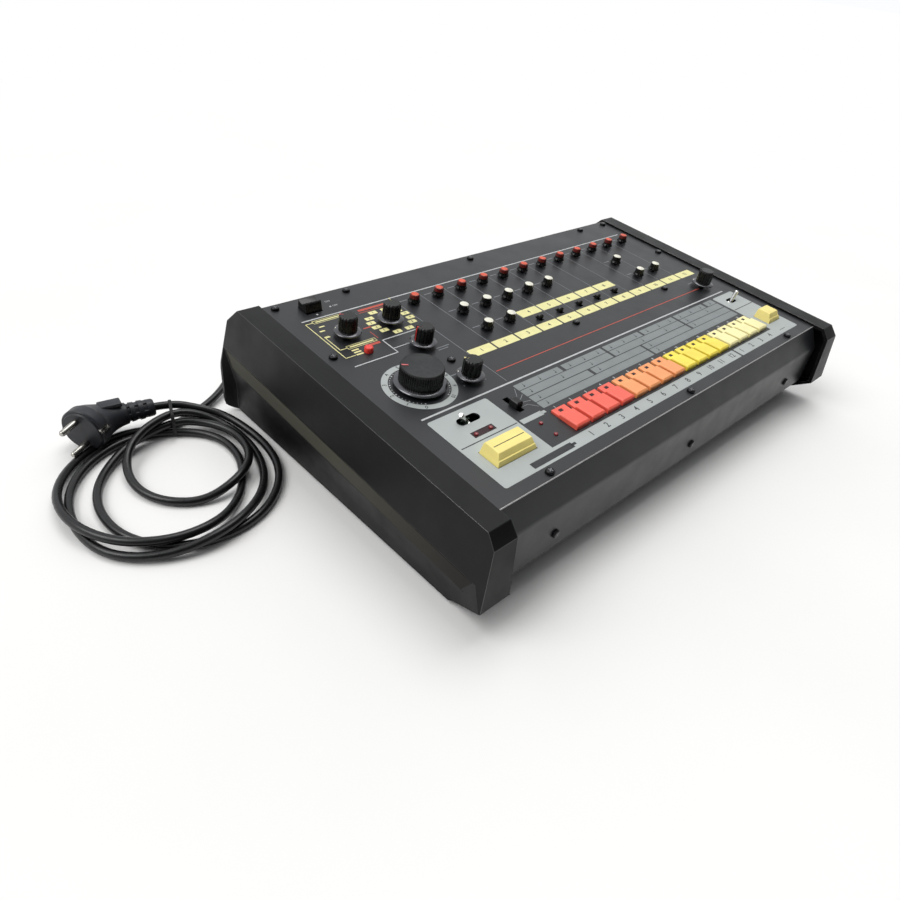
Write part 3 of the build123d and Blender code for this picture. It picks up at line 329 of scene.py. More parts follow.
def fluted(levels, flutes, groove, spacing=2):
    """Body with grooves down its side, grown upwards through (height, radius) levels."""
    shape = bmesh.new()
    height, radius = levels[0]
    bmesh.ops.create_circle(shape, cap_ends=True, segments=flutes * spacing, radius=radius)
    shape.verts.ensure_lookup_table()
    inner = (radius - groove) / radius
    bmesh.ops.scale(shape, vec=(inner, inner, 1), verts=shape.verts[:][::spacing])
    bmesh.ops.translate(shape, vec=(0, 0, height), verts=shape.verts)
    top = shape.faces[:]
    for new_height, new_radius in levels[1:]:
        grown = bmesh.ops.extrude_face_region(shape, geom=top)["geom"]
        top = [part for part in grown if isinstance(part, bmesh.types.BMFace)]
        corners = top[0].verts[:]
        bmesh.ops.translate(shape, vec=(0, 0, new_height - height), verts=corners)
        bmesh.ops.scale(shape, vec=(new_radius / radius, new_radius / radius, 1), verts=corners)
        height, radius = new_height, new_radius
    bmesh.ops.recalc_face_normals(shape, faces=shape.faces)
    return shape


def block(width, length, height, bevel=0.0, segments=2):
    """Box about the origin with its underside at height 0 and rounded edges."""
    shape = plate(width, length, height)
    if bevel:
        bmesh.ops.bevel(
            shape, geom=shape.edges[:], offset=bevel, segments=segments, profile=0.5, affect="EDGES",
            material=-1,
        )
    return shape


def softened(node, width, material, body=STANDING):
    """Copy of a node with its edges rounded by a width in millimetres, standing for it."""
    shape = bmesh.new()
    shape.from_mesh(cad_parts[node].data)
    bmesh.ops.remove_doubles(shape, verts=shape.verts, dist=1e-6)
    bmesh.ops.dissolve_limit(
        shape, angle_limit=math.radians(1), verts=shape.verts, edges=shape.edges,
        use_dissolve_boundaries=False,
    )
    bmesh.ops.recalc_face_normals(shape, faces=shape.faces)
    mesh = bpy.data.meshes.new(node)
    shape.to_mesh(mesh)
    shape.free()
    piece = keep(node + "_skin", mesh, material, body)
    rounding = piece.modifiers.new("rounding", "BEVEL")
    rounding.width = width * MM
    rounding.segments = 3
    rounding.limit_method = "ANGLE"
    rounding.angle_limit = math.radians(32)
    rounding.harden_normals = True
    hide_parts(node)
    return piece


def wear(node, material):
    """Give a node's own mesh its finish."""
    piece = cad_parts[node]
    piece.data.materials.clear()
    piece.data.materials.append(material)


def words(text, size, heavy=0.0):
    """Flat lettering about the origin, as a bmesh with a little height."""
    curve = bpy.data.curves.new("lettering", "FONT")
    curve.body = text
    curve.size = size
    curve.align_x = "CENTER"
    curve.align_y = "CENTER"
    curve.offset = heavy
    curve.extrude = INK / 2
    curve.resolution_u = 3
    sign = bpy.data.objects.new("lettering", curve)
    mesh = bpy.data.meshes.new_from_object(sign)
    shape = bmesh.new()
    shape.from_mesh(mesh)
    bpy.data.objects.remove(sign)
    bpy.data.curves.remove(curve)
    bpy.data.meshes.remove(mesh)
    return shape


class Print:
    """One colour of ink on the panel: strips, boxes and figures gathered in one piece."""

    def __init__(self, name, material, height=INK):
        self.name = name
        self.material = material
        self.height = height
        self.shape = bmesh.new()

    def box(self, u0, v0, u1, v1, corner=0.0):
        middle = Matrix.Translation(((u0 + u1) / 2, (v0 + v1) / 2, 0))
        stamp(self.shape, plate(abs(u1 - u0), abs(v1 - v0), self.height, corner), middle)

    def line(self, points, width):
        """Straight strips from point to point, with square corners."""
        for (u0, v0), (u1, v1) in zip(points, points[1:]):
            run = math.hypot(u1 - u0, v1 - v0)
            middle = Matrix.Translation(((u0 + u1) / 2, (v0 + v1) / 2, 0))
            turn = Matrix.Rotation(math.atan2(v1 - v0, u1 - u0), 4, "Z")
            stamp(self.shape, plate(run + width, width, self.height), middle @ turn)

    def dot(self, u, v, radius):
        disc = turned([(0, 0), (radius, 0), (radius, self.height), (0, self.height)], 16)
        stamp(self.shape, disc, Matrix.Translation((u, v, 0)))

    def figure(self, text, u, v, size, turn=0.0, heavy=0.0):
        place = Matrix.Translation((u, v, self.height / 2)) @ rotation(turn, "Z")
        stamp(self.shape, words(text, size, heavy), place)

    def field(self, u0, v0, u1, v1, corner, holes):
        """Box with rounded openings, each given as its own (u0, v0, u1, v1, corner)."""
        sheet = bmesh.new()
        for a0, b0, a1, b1, rounding in ((u0, v0, u1, v1, corner), *holes):
            loop = bmesh.new()
            bmesh.ops.create_grid(loop, x_segments=1, y_segments=1, size=0.5)
            bmesh.ops.scale(loop, vec=(a1 - a0, b1 - b0, 1), verts=loop.verts)
            bmesh.ops.bevel(
                loop, geom=loop.verts[:], offset=rounding, segments=8, profile=0.5, affect="VERTICES",
                material=-1,
            )
            bmesh.ops.delete(loop, geom=loop.faces[:], context="FACES_ONLY")
            stamp(sheet, loop, Matrix.Translation(((a0 + a1) / 2, (b0 + b1) / 2, 0)))
        bmesh.ops.triangle_fill(sheet, edges=sheet.edges[:], use_beauty=True)
        thicken(sheet, (0, 0, self.height))
        bmesh.ops.recalc_face_normals(sheet, faces=sheet.faces)
        stamp(self.shape, sheet, Matrix())

    def done(self):
        return finished(self.name, self.shape, PANEL, self.material)


# ---------------------------------------------------------------- camera, light and floor
def camera():
    lens = bpy.data.cameras.new("camera")
    lens.sensor_width = 36.0
    lens.lens = 27.217
    eye = bpy.data.objects.new("camera", lens)
    eye.location = (-0.474655, -0.316339, 0.350616)
    eye.rotation_euler = [math.radians(a) for a in (52.832, -6.118, -42.923)]
    bpy.context.scene.collection.objects.link(eye)
    bpy.context.scene.camera = eye


def lamp(name, way, spread, strength):
    """Soft even light from a direction; spread is how many degrees of the sky it fills."""
    light = bpy.data.lights.new(name, "SUN")
    light.angle = math.radians(spread)
    light.energy = strength
    holder = bpy.data.objects.new(name, light)
    holder.location = Vector(way)
    holder.rotation_euler = (-Vector(way)).to_track_quat("-Z", "Y").to_euler()
    bpy.context.scene.collection.objects.link(holder)


def studio():
    scene = bpy.context.scene
    scene.view_settings.view_transform = "Standard"
    world = bpy.data.worlds.new("studio")
    scene.world = world
    world.use_nodes = True
    nodes, links = world.node_tree.nodes, world.node_tree.links
    sky = nodes["Background"]
    sky.inputs["Color"].default_value = (0.97, 0.985, 1.0, 1.0)
    # The room behind the player is dim, and its far side is bright.
    way = nodes.new("ShaderNodeSeparateXYZ")
    links.new(nodes.new("ShaderNodeTexCoord").outputs["Generated"], way.inputs["Vector"])
    room = nodes.new("ShaderNodeMapRange")
    room.interpolation_type = "SMOOTHSTEP"
    room.inputs["From Min"].default_value = -0.75
    room.inputs["From Max"].default_value = 0.35
    room.inputs["To Min"].default_value = ROOM_FRONT
    room.inputs["To Max"].default_value = ROOM_BACK
    links.new(way.outputs["Y"], room.inputs["Value"])
    rays = nodes.new("ShaderNodeLightPath")
    seen = nodes.new("ShaderNodeMix")
    links.new(rays.outputs["Is Camera Ray"], seen.inputs["Factor"])
    links.new(room.outputs["Result"], seen.inputs["A"])
    seen.inputs["B"].default_value = 1.0
    links.new(seen.outputs["Result"], sky.inputs["Strength"])
    lamp("softbox_right", (0.55, 0.3, 1.6), 34, RIGHT_STRENGTH)
    lamp("softbox_left", (-0.9, 0.4, 1.3), 36, LEFT_STRENGTH)
    backdrop()


FLOOR_REACH = 20.0            # metres each way
FLOOR_DROP = 0.0002
NEAR_FLOOR = 0.6              # metres from the machine where the floor starts to turn plain white
FAR_FLOOR = 1.5               # and where it has


def backdrop():
    """White floor that keeps the shadows near the machine and is plain white further off."""
    shape = bmesh.new()
    bmesh.ops.create_grid(shape, x_segments=1, y_segments=1, size=FLOOR_REACH)
    mesh = bpy.data.meshes.new("floor")
    shape.to_mesh(mesh)
    shape.free()
    floor = bpy.data.objects.new("floor", mesh)
    bpy.context.scene.collection.objects.link(floor)
    floor.location.z = -FLOOR_DROP
    finish = Finish("floor_white", 0.7, specular=0.2)
    uneven = finish.spread(finish.cloud(300.0), 0.0, 1.0)
    finish.colour(uneven, shade(238, 237, 235), shade(242, 241, 239))
    nodes = finish.tree.nodes
    far = nodes.new("ShaderNodeVectorMath")
    far.operation = "LENGTH"
    finish.link(finish.place, far.inputs[0])
    fade = nodes.new("ShaderNodeMapRange")
    fade.interpolation_type = "SMOOTHSTEP"
    fade.inputs["From Min"].default_value = NEAR_FLOOR
    fade.inputs["From Max"].default_value = FAR_FLOOR
    finish.link(far.outputs["Value"], fade.inputs["Value"])
    rays = nodes.new("ShaderNodeLightPath")
    share = rays.outputs["Is Camera Ray"]
    for kind in ("Is Glossy Ray", "Is Transmission Ray"):
        either = nodes.new("ShaderNodeMath")
        either.operation = "MAXIMUM"
        finish.link(share, either.inputs[0])
        finish.link(rays.outputs[kind], either.inputs[1])
        share = either.outputs["Value"]
    amount = nodes.new("ShaderNodeMath")
    amount.operation = "MULTIPLY"
    finish.link(share, amount.inputs[0])
    finish.link(fade.outputs["Result"], amount.inputs[1])
    white = nodes.new("ShaderNodeEmission")
    mix = nodes.new("ShaderNodeMixShader")
    finish.link(amount.outputs["Value"], mix.inputs["Fac"])
    finish.link(finish.shader.outputs["BSDF"], mix.inputs[1])
    finish.link(white.outputs["Emission"], mix.inputs[2])
    finish.link(mix.outputs["Shader"], nodes["Material Output"].inputs["Surface"])
    mesh.materials.append(finish.material)


camera()
studio()

# ---------------------------------------------------------------- mains cord
CORD_DIAMETER = 6.5
CORD_EXIT = (-140.0, 130.92, 30.0)
CORD_ROUTE = [
    (-140.0, 172.9, 30.0),
    (-149.0, 200.9, 27.0),
    (-172.0, 216.9, 21.0),
    (-200.0, 212.9, 14.0),
    (-225.0, 194.9, 9.0),
    (-251.0, 172.9, 5.0),
    (-281.0, 159.5, 3.3),
    (-308.0, 153.0, 3.3),
]
# Each turn of the coil starts at the tie. Its eleven points, a twelfth of the way round from each other, each
# have their distance from the turn's centre and their height over the table.
TIE_SPOT = (-301.5, 153.5)
COIL_TURNS = [
    ((-335.0, 85.0),
     (82.5, 81, 79, 75, 71.5, 67.5, 61, 53, 51, 57.5, 67),
     (3.3, 3.3, 6.5, 10.5, 10.3, 10.3, 8.0, 3.3, 3.3, 3.3, 3.3)),
    ((-335.0, 85.0),
     (72.5, 71, 71, 72.5, 78.5, 76.5, 74.5, 69.5, 68, 72.0, 81),
     (3.3, 3.3, 3.3, 3.3, 3.3, 5.0, 11.2, 8.5, 3.3, 3.3, 7.0)),
    ((-313.0, 103.0),
     (46.5, 46, 45, 46, 48, 50, 50, 48, 44.5, 43.4, 44.5),
     (15.3, 10.0, 5.0, 3.3, 3.3, 3.3, 10.3, 10.4, 10.0, 10.0, 10.0)),
    ((-335.0, 85.0),
     (61.5, 54, 52, 53.5, 59.5, 67.5, 73, 77.5, 80.5, 82.5, 88),
     (6.8, 3.3, 3.3, 3.3, 3.3, 3.3, 3.3, 3.3, 3.3, 3.5, 9.0)),
]
# Where the cord passes through its tie between two turns, and its end that leads to the plug.
TIE_CROSSINGS = [(-304.0, 147.0, 3.3), (-295.0, 151.5, 19.0), (-303.0, 149.2, 11.0)]
LEAD_END = [(-279.5, 150.5, 14.5), (-296.0, 163.5, 18.0), (-312.0, 166.5, 18.2)]
TWELFTH = 30                  # degrees


def coil_points():
    points = []
    for number, (centre, reaches, heights) in enumerate(COIL_TURNS):
        start = math.degrees(math.atan2(TIE_SPOT[1] - centre[1], TIE_SPOT[0] - centre[0]))
        for k, (reach, height) in enumerate(zip(reaches, heights), start=1):
            way = math.radians(start + TWELFTH * k)
            points.append((centre[0] + reach * math.cos(way), centre[1] + reach * math.sin(way), height))
        if number < len(TIE_CROSSINGS):
            points.append(TIE_CROSSINGS[number])
    return points


def mains_cord():
    curve = bpy.data.curves.new("mains_cord", "CURVE")
    curve.dimensions = "3D"
    curve.bevel_depth = CORD_DIAMETER / 2 * MM
    curve.bevel_resolution = 4
    curve.resolution_u = 6
    curve.use_fill_caps = True
    spline = curve.splines.new("NURBS")
    route = [CORD_EXIT] + CORD_ROUTE + coil_points() + LEAD_END
    spline.points.add(len(route) - 1)
    for point, place in zip(spline.points, route):
        point.co = (*[c * MM for c in place], 1.0)
    spline.order_u = 3
    spline.use_endpoint_u = True
    curve.materials.append(cord_vinyl)
    cord = bpy.data.objects.new("mains_cord", curve)
    bpy.context.scene.collection.objects.link(cord)
    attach(cord, STANDING)
    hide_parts("cord_tube", "cord_coil")
    return cord


# ---------------------------------------------------------------- plug
PLUG_FACE = (-366.8, 163.5, 18.2)
PLUG_HEADING = 215.4
PLUG_ROLL = 15.0              # of its pins about its own axis
RELIEF_HEADING = -8.4
RELIEF_LENGTH = 44.0
RELIEF_DEPTH = 16.0           # where its axis leaves that of the plug, behind the face
PIN_OFFSET = 9.5              # of each pin from the plug's axis
EARTH_OFFSET = 16.9
# Sections of the moulded body from its face to the relief: how far aside and ahead of the face's middle, the
# bend towards the cord in degrees, half its width and half its height.
BODY_SECTIONS = [
    (0.0, 1.5, 0, 14.6, 14.6), (0.0, 1.5, 0, 15.4, 15.4),
    (0.0, 0.0, 0, 16.2, 16.2), (0.0, 0.0, 0, 17.2, 17.2),
    (0.0, -0.9, 0, 18.0, 18.0), (0.0, -8.5, 0, 18.0, 18.0),
    (-0.4, -9.6, 4, 17.4, 17.3), (-1.6, -13.5, 14, 16.4, 15.4),
    (-4.4, -18.4, 26, 14.4, 12.8), (-8.4, -23.6, 36, 11.8, 10.6),
    (-12.6, -28.6, 43, 9.6, 9.3), (-16.0, -32.4, 43.8, 8.6, 8.6),
    (-16.6, -33.0, 43.8, 7.4, 7.4),
]
SECTION_POINTS = 48


def facing(place, heading):
    """Transform whose z axis points along a level heading from a place, with x upwards."""
    way = math.radians(heading)
    ahead = Vector((math.cos(way), math.sin(way), 0))
    up = Vector((0, 0, 1))
    across = ahead.cross(up)
    turn = Matrix((up, across, ahead)).transposed().to_4x4()
    return MILLIMETRES @ Matrix.Translation(place) @ turn


def plug_body():
    """Round plug whose body bends sideways to the cord, skinned over its sections."""
    shape = bmesh.new()
    rings = []
    for aside, ahead, bend, half_width, half_height in BODY_SECTIONS:
        turn = Matrix.Translation((0, aside, ahead)) @ rotation(-bend, "X")
        ring = []
        for k in range(SECTION_POINTS):
            way = math.tau * k / SECTION_POINTS
            rim = Vector((half_height * math.cos(way), half_width * math.sin(way), 0))
            ring.append(shape.verts.new(turn @ rim))
        rings.append(ring)
    for near, far in zip(rings, rings[1:]):
        for k in range(SECTION_POINTS):
            other = (k + 1) % SECTION_POINTS
            shape.faces.new((near[k], near[other], far[other], far[k]))
    shape.faces.new(rings[0])
    shape.faces.new(rings[-1])
    bmesh.ops.recalc_face_normals(shape, faces=shape.faces)
    return shape


def plug_relief():
    """Stout sleeve round the cord with two rows of notches on each side and a thin neck."""
    sleeve = [(0, 16.0)]
    for near in (19.0, 25.5, 32.0):
        sleeve += [(8.0, near), (7.7, near + 3.6), (6.1, near + 3.8), (6.1, near + 6.3)]
    sleeve += [(7.3, 38.5), (7.1, 42.6), (6.4, RELIEF_LENGTH), (0, RELIEF_LENGTH)]
    shape = turned(sleeve, 40)
    for side in (1, -1):
        stamp(shape, block(5.0, 3.2, 22.0, 0.6), Matrix.Translation((0, side * 5.6, 17.5)))
        stamp(shape, block(3.2, 5.0, 22.0, 0.6), Matrix.Translation((side * 5.6, 0, 17.5)))
    return shape


def plug_pieces():
    face = facing(PLUG_FACE, PLUG_HEADING)
    way = math.radians(PLUG_HEADING)
    root = Vector(PLUG_FACE) - Vector((math.cos(way), math.sin(way), 0)) * RELIEF_DEPTH
    relief = facing(root, RELIEF_HEADING)
    ridge = relief @ Matrix.Translation((11.4, 0, 3.5))
    made = [
        finished("plug_body", plug_body(), face, plug_vinyl, sharp=40.0),
        finished("plug_relief", plug_relief(), relief, plug_vinyl),
        finished("plug_ridge", block(3.4, 10.0, 17.0, 1.0, 3), ridge, plug_vinyl),
    ]
    rolled = face @ rotation(PLUG_ROLL, "Z")
    for number, side in enumerate((1, -1), start=1):
        pin = turned([(0, -2.0), (2.4, -2.0), (2.4, 17.6), (1.6, 18.8), (0, 19.0)], 24)
        place = rolled @ Matrix.Translation((side * PIN_OFFSET, 0, 0))
        made.append(finished(f"plug_pin_{number}", pin, place, socket_nickel))
        place = rolled @ Matrix.Translation((0, side * EARTH_OFFSET, -8.5))
        # black block in each earth recess: painted shade
        recess = block(6.4, 2.6, 8.0, 0.4)
        made.append(finished(f"plug_earth_recess_shade_{number}", recess, place, tie_black_and_recess_shade))
        place = place @ Matrix.Translation((0, side * 0.35, 1.0))
        clip = block(3.8, 2.2, 8.8, 0.3)
        made.append(finished(f"plug_earth_clip_{number}", clip, place, socket_nickel))
    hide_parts("plug")
    return made


cord = mains_cord()
plug = plug_pieces()
wear("cord_gland", plug_vinyl)
wear("cord_tie", tie_black_and_recess_shade)

# ---------------------------------------------------------------- casing
for node, material in (
    ("top_panel", panel_paint),
    ("bottom_cover", tray_paint),
    ("rear_panel", tray_paint),
    ("rubber_feet", foot_rubber),
    ("panel_screws", screw_black),
    ("main_board", board_green),
    ("panel_board", board_green),
    ("transformer", lamination_steel),
    ("rear_jacks", socket_nickel),
):
    wear(node, material)

# Upper and lower edges of the hand grip's sloping face: distance from the machine's middle, and height from the
# panel's plane.
GRIP_EDGE = (251.77, -37.0)
GRIP_FOOT = (246.0, -71.5)
GRIP_BAND = (0.03, 0.52)      # part of the face that the olive band takes, from its upper edge
GRIP_GROOVE_SHADOW = (0.52, 0.555)   # and the black strip of painted shadow in the groove under it
GRIP_FRONT = (-12.0, -3.0)    # where both start along the slope, at their upper and lower edges
GRIP_REAR = (281.0, 278.0)
FOLD_RADIUS = 0.9
FOLD_REACH = 227.2            # from the machine's middle to each cheek
FOLD_MIDDLE = (0, -134.552, 80.385)
CROSS_HEIGHT = 2.2            # of the crosses over the face that the screws hold


def cheeks():
    """End cheeks whose rounded edges are coloured lighter, as a painted highlight."""
    for node in ("left_cheek", "right_cheek"):
        cheek = softened(node, 0.9, cheek_plastic)
        # the rounded edges take the lighter edge material, a painted highlight
        cheek.data.materials.append(cheek_edge_highlight)
        cheek.modifiers["rounding"].material = 1


def grip_strip(name, side, part, stand, material):
    """Thin strip on a hand grip's face between two parts of its height."""
    shape = bmesh.new()
    corners = []
    high, low = part
    front_high, front_low = GRIP_FRONT
    rear_high, rear_low = GRIP_REAR
    for v, share in ((front_high, high), (front_low, low), (rear_low, low), (rear_high, high)):
        out = GRIP_EDGE[0] + (GRIP_FOOT[0] - GRIP_EDGE[0]) * share
        h = GRIP_EDGE[1] + (GRIP_FOOT[1] - GRIP_EDGE[1]) * share
        corners.append(shape.verts.new((side * (out + stand), v, h)))
    shape.faces.new(corners)
    thicken(shape, (-side * stand, 0, 0))
    finished(name, shape, PANEL, material)


def grip_bands():
    """Olive band along the upper part of each hand grip, partly painted light and shade, with a black strip as
    painted shadow in the groove under it.
    """
    for side, name in ((-1, "left"), (1, "right")):
        # olive band: partly painted light on the lit face, with painted shade towards the front
        grip_strip(f"{name}_grip_band", side, GRIP_BAND, 0.12, grip_olive)
        # black strip in the groove: painted shadow
        grip_strip(f"{name}_grip_groove_shadow", side, GRIP_GROOVE_SHADOW, 0.06, tie_black_and_recess_shade)


def front_fold():
    """Rounded fold along the panel's front edge, coloured light grey as a painted highlight."""
    ends = [(0, -FOLD_REACH), (FOLD_RADIUS, -FOLD_REACH), (FOLD_RADIUS, FOLD_REACH), (0, FOLD_REACH)]
    rod = turned(ends, 24)
    place = MILLIMETRES @ Matrix.Translation(FOLD_MIDDLE) @ rotation(90, "Y")
    finished("panel_front_fold", rod, place, fold_highlight_grey)


def screw_crosses(name, spots, turns, face):
    """Crosses in the tops of a face's screws, coloured light grey as painted glints, each screw stopped at a
    different turn.
    """
    shape = bmesh.new()
    for across, up in spots:
        for turn in turns:
            place = Matrix.Translation((across, up, CROSS_HEIGHT)) @ rotation(turn + across, "Z")
            stamp(shape, plate(3.6, 0.7, 0.05), place)
    # the light grey crosses are painted glints
    finished(name, shape, face, screw_glint_grey)


def screw_recesses():
    screw_crosses("panel_screw_recesses", PANEL_SCREWS, (20, 110), PANEL)
    lip = MILLIMETRES @ Matrix.Translation((0, LIP_FACE, LIP_SCREW_HEIGHT)) @ rotation(90, "X")
    screw_crosses("lip_screw_recesses", [(u, 0) for u in LIP_SCREWS], (35, 125), lip)


cheeks()
grip_bands()
front_fold()
screw_recesses()

# ---------------------------------------------------------------- knobs
SMALL_SHAFT = 1.5
LARGE_SHAFT = 3.0


def shaft(radius, top):
    """Bare end of a shaft between the panel and its knob."""
    return turned([(0, -2.0), (radius, -2.0), (radius, top), (0, top)], 20)


def level_knob_body(shape, place):
    """Small fluted foot with notches in its flare, standing off the panel on its shaft."""
    stamp(shape, shaft(SMALL_SHAFT, 1.6), place)
    stamp(shape, fluted([(1.2, 5.2), (1.6, 5.5), (2.2, 5.45), (3.7, 4.55)], 6, 0.9, 6), place)
    stamp(shape, fluted([(3.3, 4.55), (5.2, 4.35)], 16, 0.28), place)


def level_knob_collar(shape, place):
    stamp(shape, fluted([(5.1, 4.36), (7.6, 4.15), (8.1, 3.95), (8.25, 3.6)], 16, 0.28), place)


def level_knob_cap(shape, place):
    stamp(shape, turned([(0, 8.0), (3.25, 8.0), (3.25, 8.35), (2.95, 8.55), (0, 8.6)], 24), place)


def level_knob_ring(shape, place):
    stamp(shape, turned([(3.2, 8.0), (3.9, 8.0), (3.75, 8.3), (3.2, 8.42), (3.2, 8.0)], 24), place)


def level_knobs():
    """Orange-capped knobs that turn, one for each voice."""
    for number in range(1, COLUMN_COUNT + 1):
        node = f"level_knob_{number}"
        place = on_panel(column_u(number), LEVEL_ROW, 0, LEVEL_POINTING)
        for part, make, material in (
            ("body", level_knob_body, knob_plastic),
            # collar and rim in the darker orange: painted shade on the cap's sides
            ("collar", level_knob_collar, cap_orange_shaded),
            ("cap", level_knob_cap, cap_orange),
            ("ring", level_knob_ring, cap_orange_shaded),
        ):
            shape = bmesh.new()
            make(shape, Matrix())
            piece = finished(f"{node}_{part}", shape, place, material, node)
            if part == "body":
                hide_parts(node)


def tone_spots():
    upper = [(column_u(k), TONE_ROW) for k in TONE_COLUMNS]
    return upper + [(column_u(k), TUNING_ROW) for k in TUNING_COLUMNS]


def tone_knobs():
    """White-capped knobs, each with a notch in its side."""
    bodies, caps = bmesh.new(), bmesh.new()
    for number, (u, v) in enumerate(tone_spots()):
        turn = TONE_POINTING + TONE_SCATTER * (number % 3 - 1)
        place = Matrix.Translation((u, v, 0)) @ rotation(turn, "Z")
        level_knob_body(bodies, place)
        level_knob_collar(bodies, place)
        level_knob_cap(caps, place)
        level_knob_ring(caps, place)
        stamp(caps, block(0.9, 1.1, 2.4, 0.2), place @ Matrix.Translation((3.75, 0, 5.8)))
    body = finished("tone_knob_bodies", bodies, PANEL, knob_plastic)
    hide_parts("tone_knobs")
    finished("tone_knob_caps", caps, PANEL, cap_white)


def selector_knob(node, u, v, pointing, colour, striped=False):
    """Tall fluted knob on a polished skirt, with a coloured mark on its edge and a white dot on its skirt."""
    place = on_panel(u, v, 0, pointing)
    body = fluted([(4.9, 7.5), (15.9, 7.3), (16.9, 6.9), (17.5, 6.1), (17.3, 5.7)], 14, 0.5, 4)
    stamp(body, shaft(LARGE_SHAFT, 3.9), Matrix())
    skirt = turned([(0, 3.5), (10.9, 3.5), (10.9, 4.1), (10.4, 4.5), (8.0, 5.2), (0, 5.2)], 64)
    crown = turned([(0, 17.0), (5.65, 17.0), (5.65, 17.36), (0, 17.4)], 32)
    mark = block(4.2, 1.5, 1.0, 0.25)
    bmesh.ops.translate(mark, vec=(5.1, 0, 16.5), verts=mark.verts)
    if striped:
        stamp(mark, block(0.8, 1.5, 11.0, 0.2), Matrix.Translation((7.2, 0, 5.2)))
    dot = turned([(0, 0), (0.6, 0), (0.55, 0.12), (0, 0.15)], 16)
    bmesh.ops.translate(dot, vec=(9.5, 0, 4.74), verts=dot.verts)
    body = finished(f"{node}_body", body, place, knob_plastic, node)
    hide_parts(node)
    for piece in (
        body,
        finished(f"{node}_skirt", skirt, place, skirt_polished, node),
        finished(f"{node}_crown", crown, place, knob_crown, node),
        finished(f"{node}_pointer", mark, place, colour, node),
        finished(f"{node}_dot", dot, place, cap_white, node),
    ):
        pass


def tempo_knob():
    """Large knob with fine flutes, a matt top inside a raised rim, and a sloping polished skirt."""
    node = "tempo_knob"
    place = on_panel(*TEMPO_SPOT, 0, TEMPO_POINTING)
    body = fluted([(4.5, 16.5), (16.0, 16.3), (16.9, 15.9), (17.2, 15.5)], 60, 0.4)
    stamp(body, shaft(LARGE_SHAFT, 3.5), Matrix())
    skirt = turned([(0, 3.1), (19.9, 3.1), (19.9, 3.6), (19.4, 4.1), (17.0, 4.8), (0, 4.8)], 96)
    crown = turned([(0, 16.6), (15.7, 16.6), (15.7, 17.3), (15.3, 17.55), (14.7, 17.2), (0, 17.25)], 72)
    mark = block(5.0, 1.4, 0.9, 0.25)
    bmesh.ops.translate(mark, vec=(12.9, 0, 16.7), verts=mark.verts)
    body = finished(f"{node}_body", body, place, knob_plastic, node)
    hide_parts(node)
    for piece in (
        body,
        finished(f"{node}_skirt", skirt, place, skirt_polished, node),
        finished(f"{node}_crown", crown, place, knob_crown, node),
        finished(f"{node}_pointer", mark, place, pointer_pink, node),
    ):
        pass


level_knobs()
tone_knobs()
selector_knob("mode_knob", -189.5, 203.5, 135, pointer_pink)
selector_knob("instrument_knob", -146.3, 203.9, 75, pointer_cream)
selector_knob("fill_knob", -146.0, 163.5, 165, pointer_red, striped=True)
selector_knob("fine_tempo_knob", *FINE_TEMPO_SPOT, 135, pointer_cream)
selector_knob("volume_knob", *VOLUME_SPOT, 120, knob_crown)
tempo_knob()


# ---------------------------------------------------------------- keys and switches
def step_keys():
    """Four keys of each colour, each with a small lamp window near its rear edge."""
    colours = (key_red, key_orange, key_yellow, key_cream)
    for number in range(STEP_COUNT):
        node = f"step_key_{number + 1}"
        softened(node, 0.4, colours[number // 4], node)
        place = on_panel(step_u(number) - 0.6, 45.3, 0.95)
        window = finished(f"{node}_lamp", block(3.7, 2.4, 0.5, 0.15), place, lamp_window, node)


def bar_keys():
    for node in ("start_stop_key", "tap_key"):
        softened(node, 0.4, bar_key_cream, node)


def switches():
    softened("power_rocker", 0.6, knob_plastic, "power_rocker")
    softened("prescale_slider", 0.5, knob_plastic, "prescale_slider")
    softened("selector_sliders", 0.4, knob_plastic)
    dome = [(0, -0.6), (3.5, -0.6), (3.5, 3.4), (3.2, 4.0), (2.6, 4.35), (1.2, 4.4), (0, 4.3)]
    place = on_panel(-189.0, 177.0)
    clear = finished("clear_button_cap", turned(dome, 40), place, button_red, "clear_button")
    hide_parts("clear_button")
    wear("variation_lever", lever_nickel)
    wear("fill_variation_lever", lever_nickel)


def lamps():
    """Small red lamps, two of them behind a dark window."""
    domes = bmesh.new()
    for u, v in PART_LAMPS:
        dome = turned([(0, -2.0), (1.6, -2.0), (1.6, 0.5), (1.45, 0.95), (1.0, 1.2), (0, 1.3)], 28)
        stamp(domes, dome, Matrix.Translation((u, v, 0)))
    for u, v in VARIATION_LAMPS:
        dome = turned([(0, -1.0), (1.6, -1.0), (1.6, 0.3), (1.4, 0.8), (0.9, 1.05), (0, 1.15)], 28)
        stamp(domes, dome, Matrix.Translation((u, v, 0)))
    window = plate(20.9, 5.9, 1.2, 0.3)
    bmesh.ops.translate(window, vec=(-180.5, 59.8, -1.35), verts=window.verts)
    for piece in (
        finished("lamp_domes", domes, PANEL, lamp_red),
        finished("lamp_window", window, PANEL, lamp_window),
    ):
        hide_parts("indicator_leds")


step_keys()
bar_keys()
switches()
lamps()

# ---------------------------------------------------------------- prints on the panel
# Places across the panel of the thin lines between the voice columns.
COLUMN_RULES = (-121.9, -93.9, -65.9, -38.0, -10.2, 18.3, 46.1, 74.2, 102.2, 130.0, 158.0, 185.0)


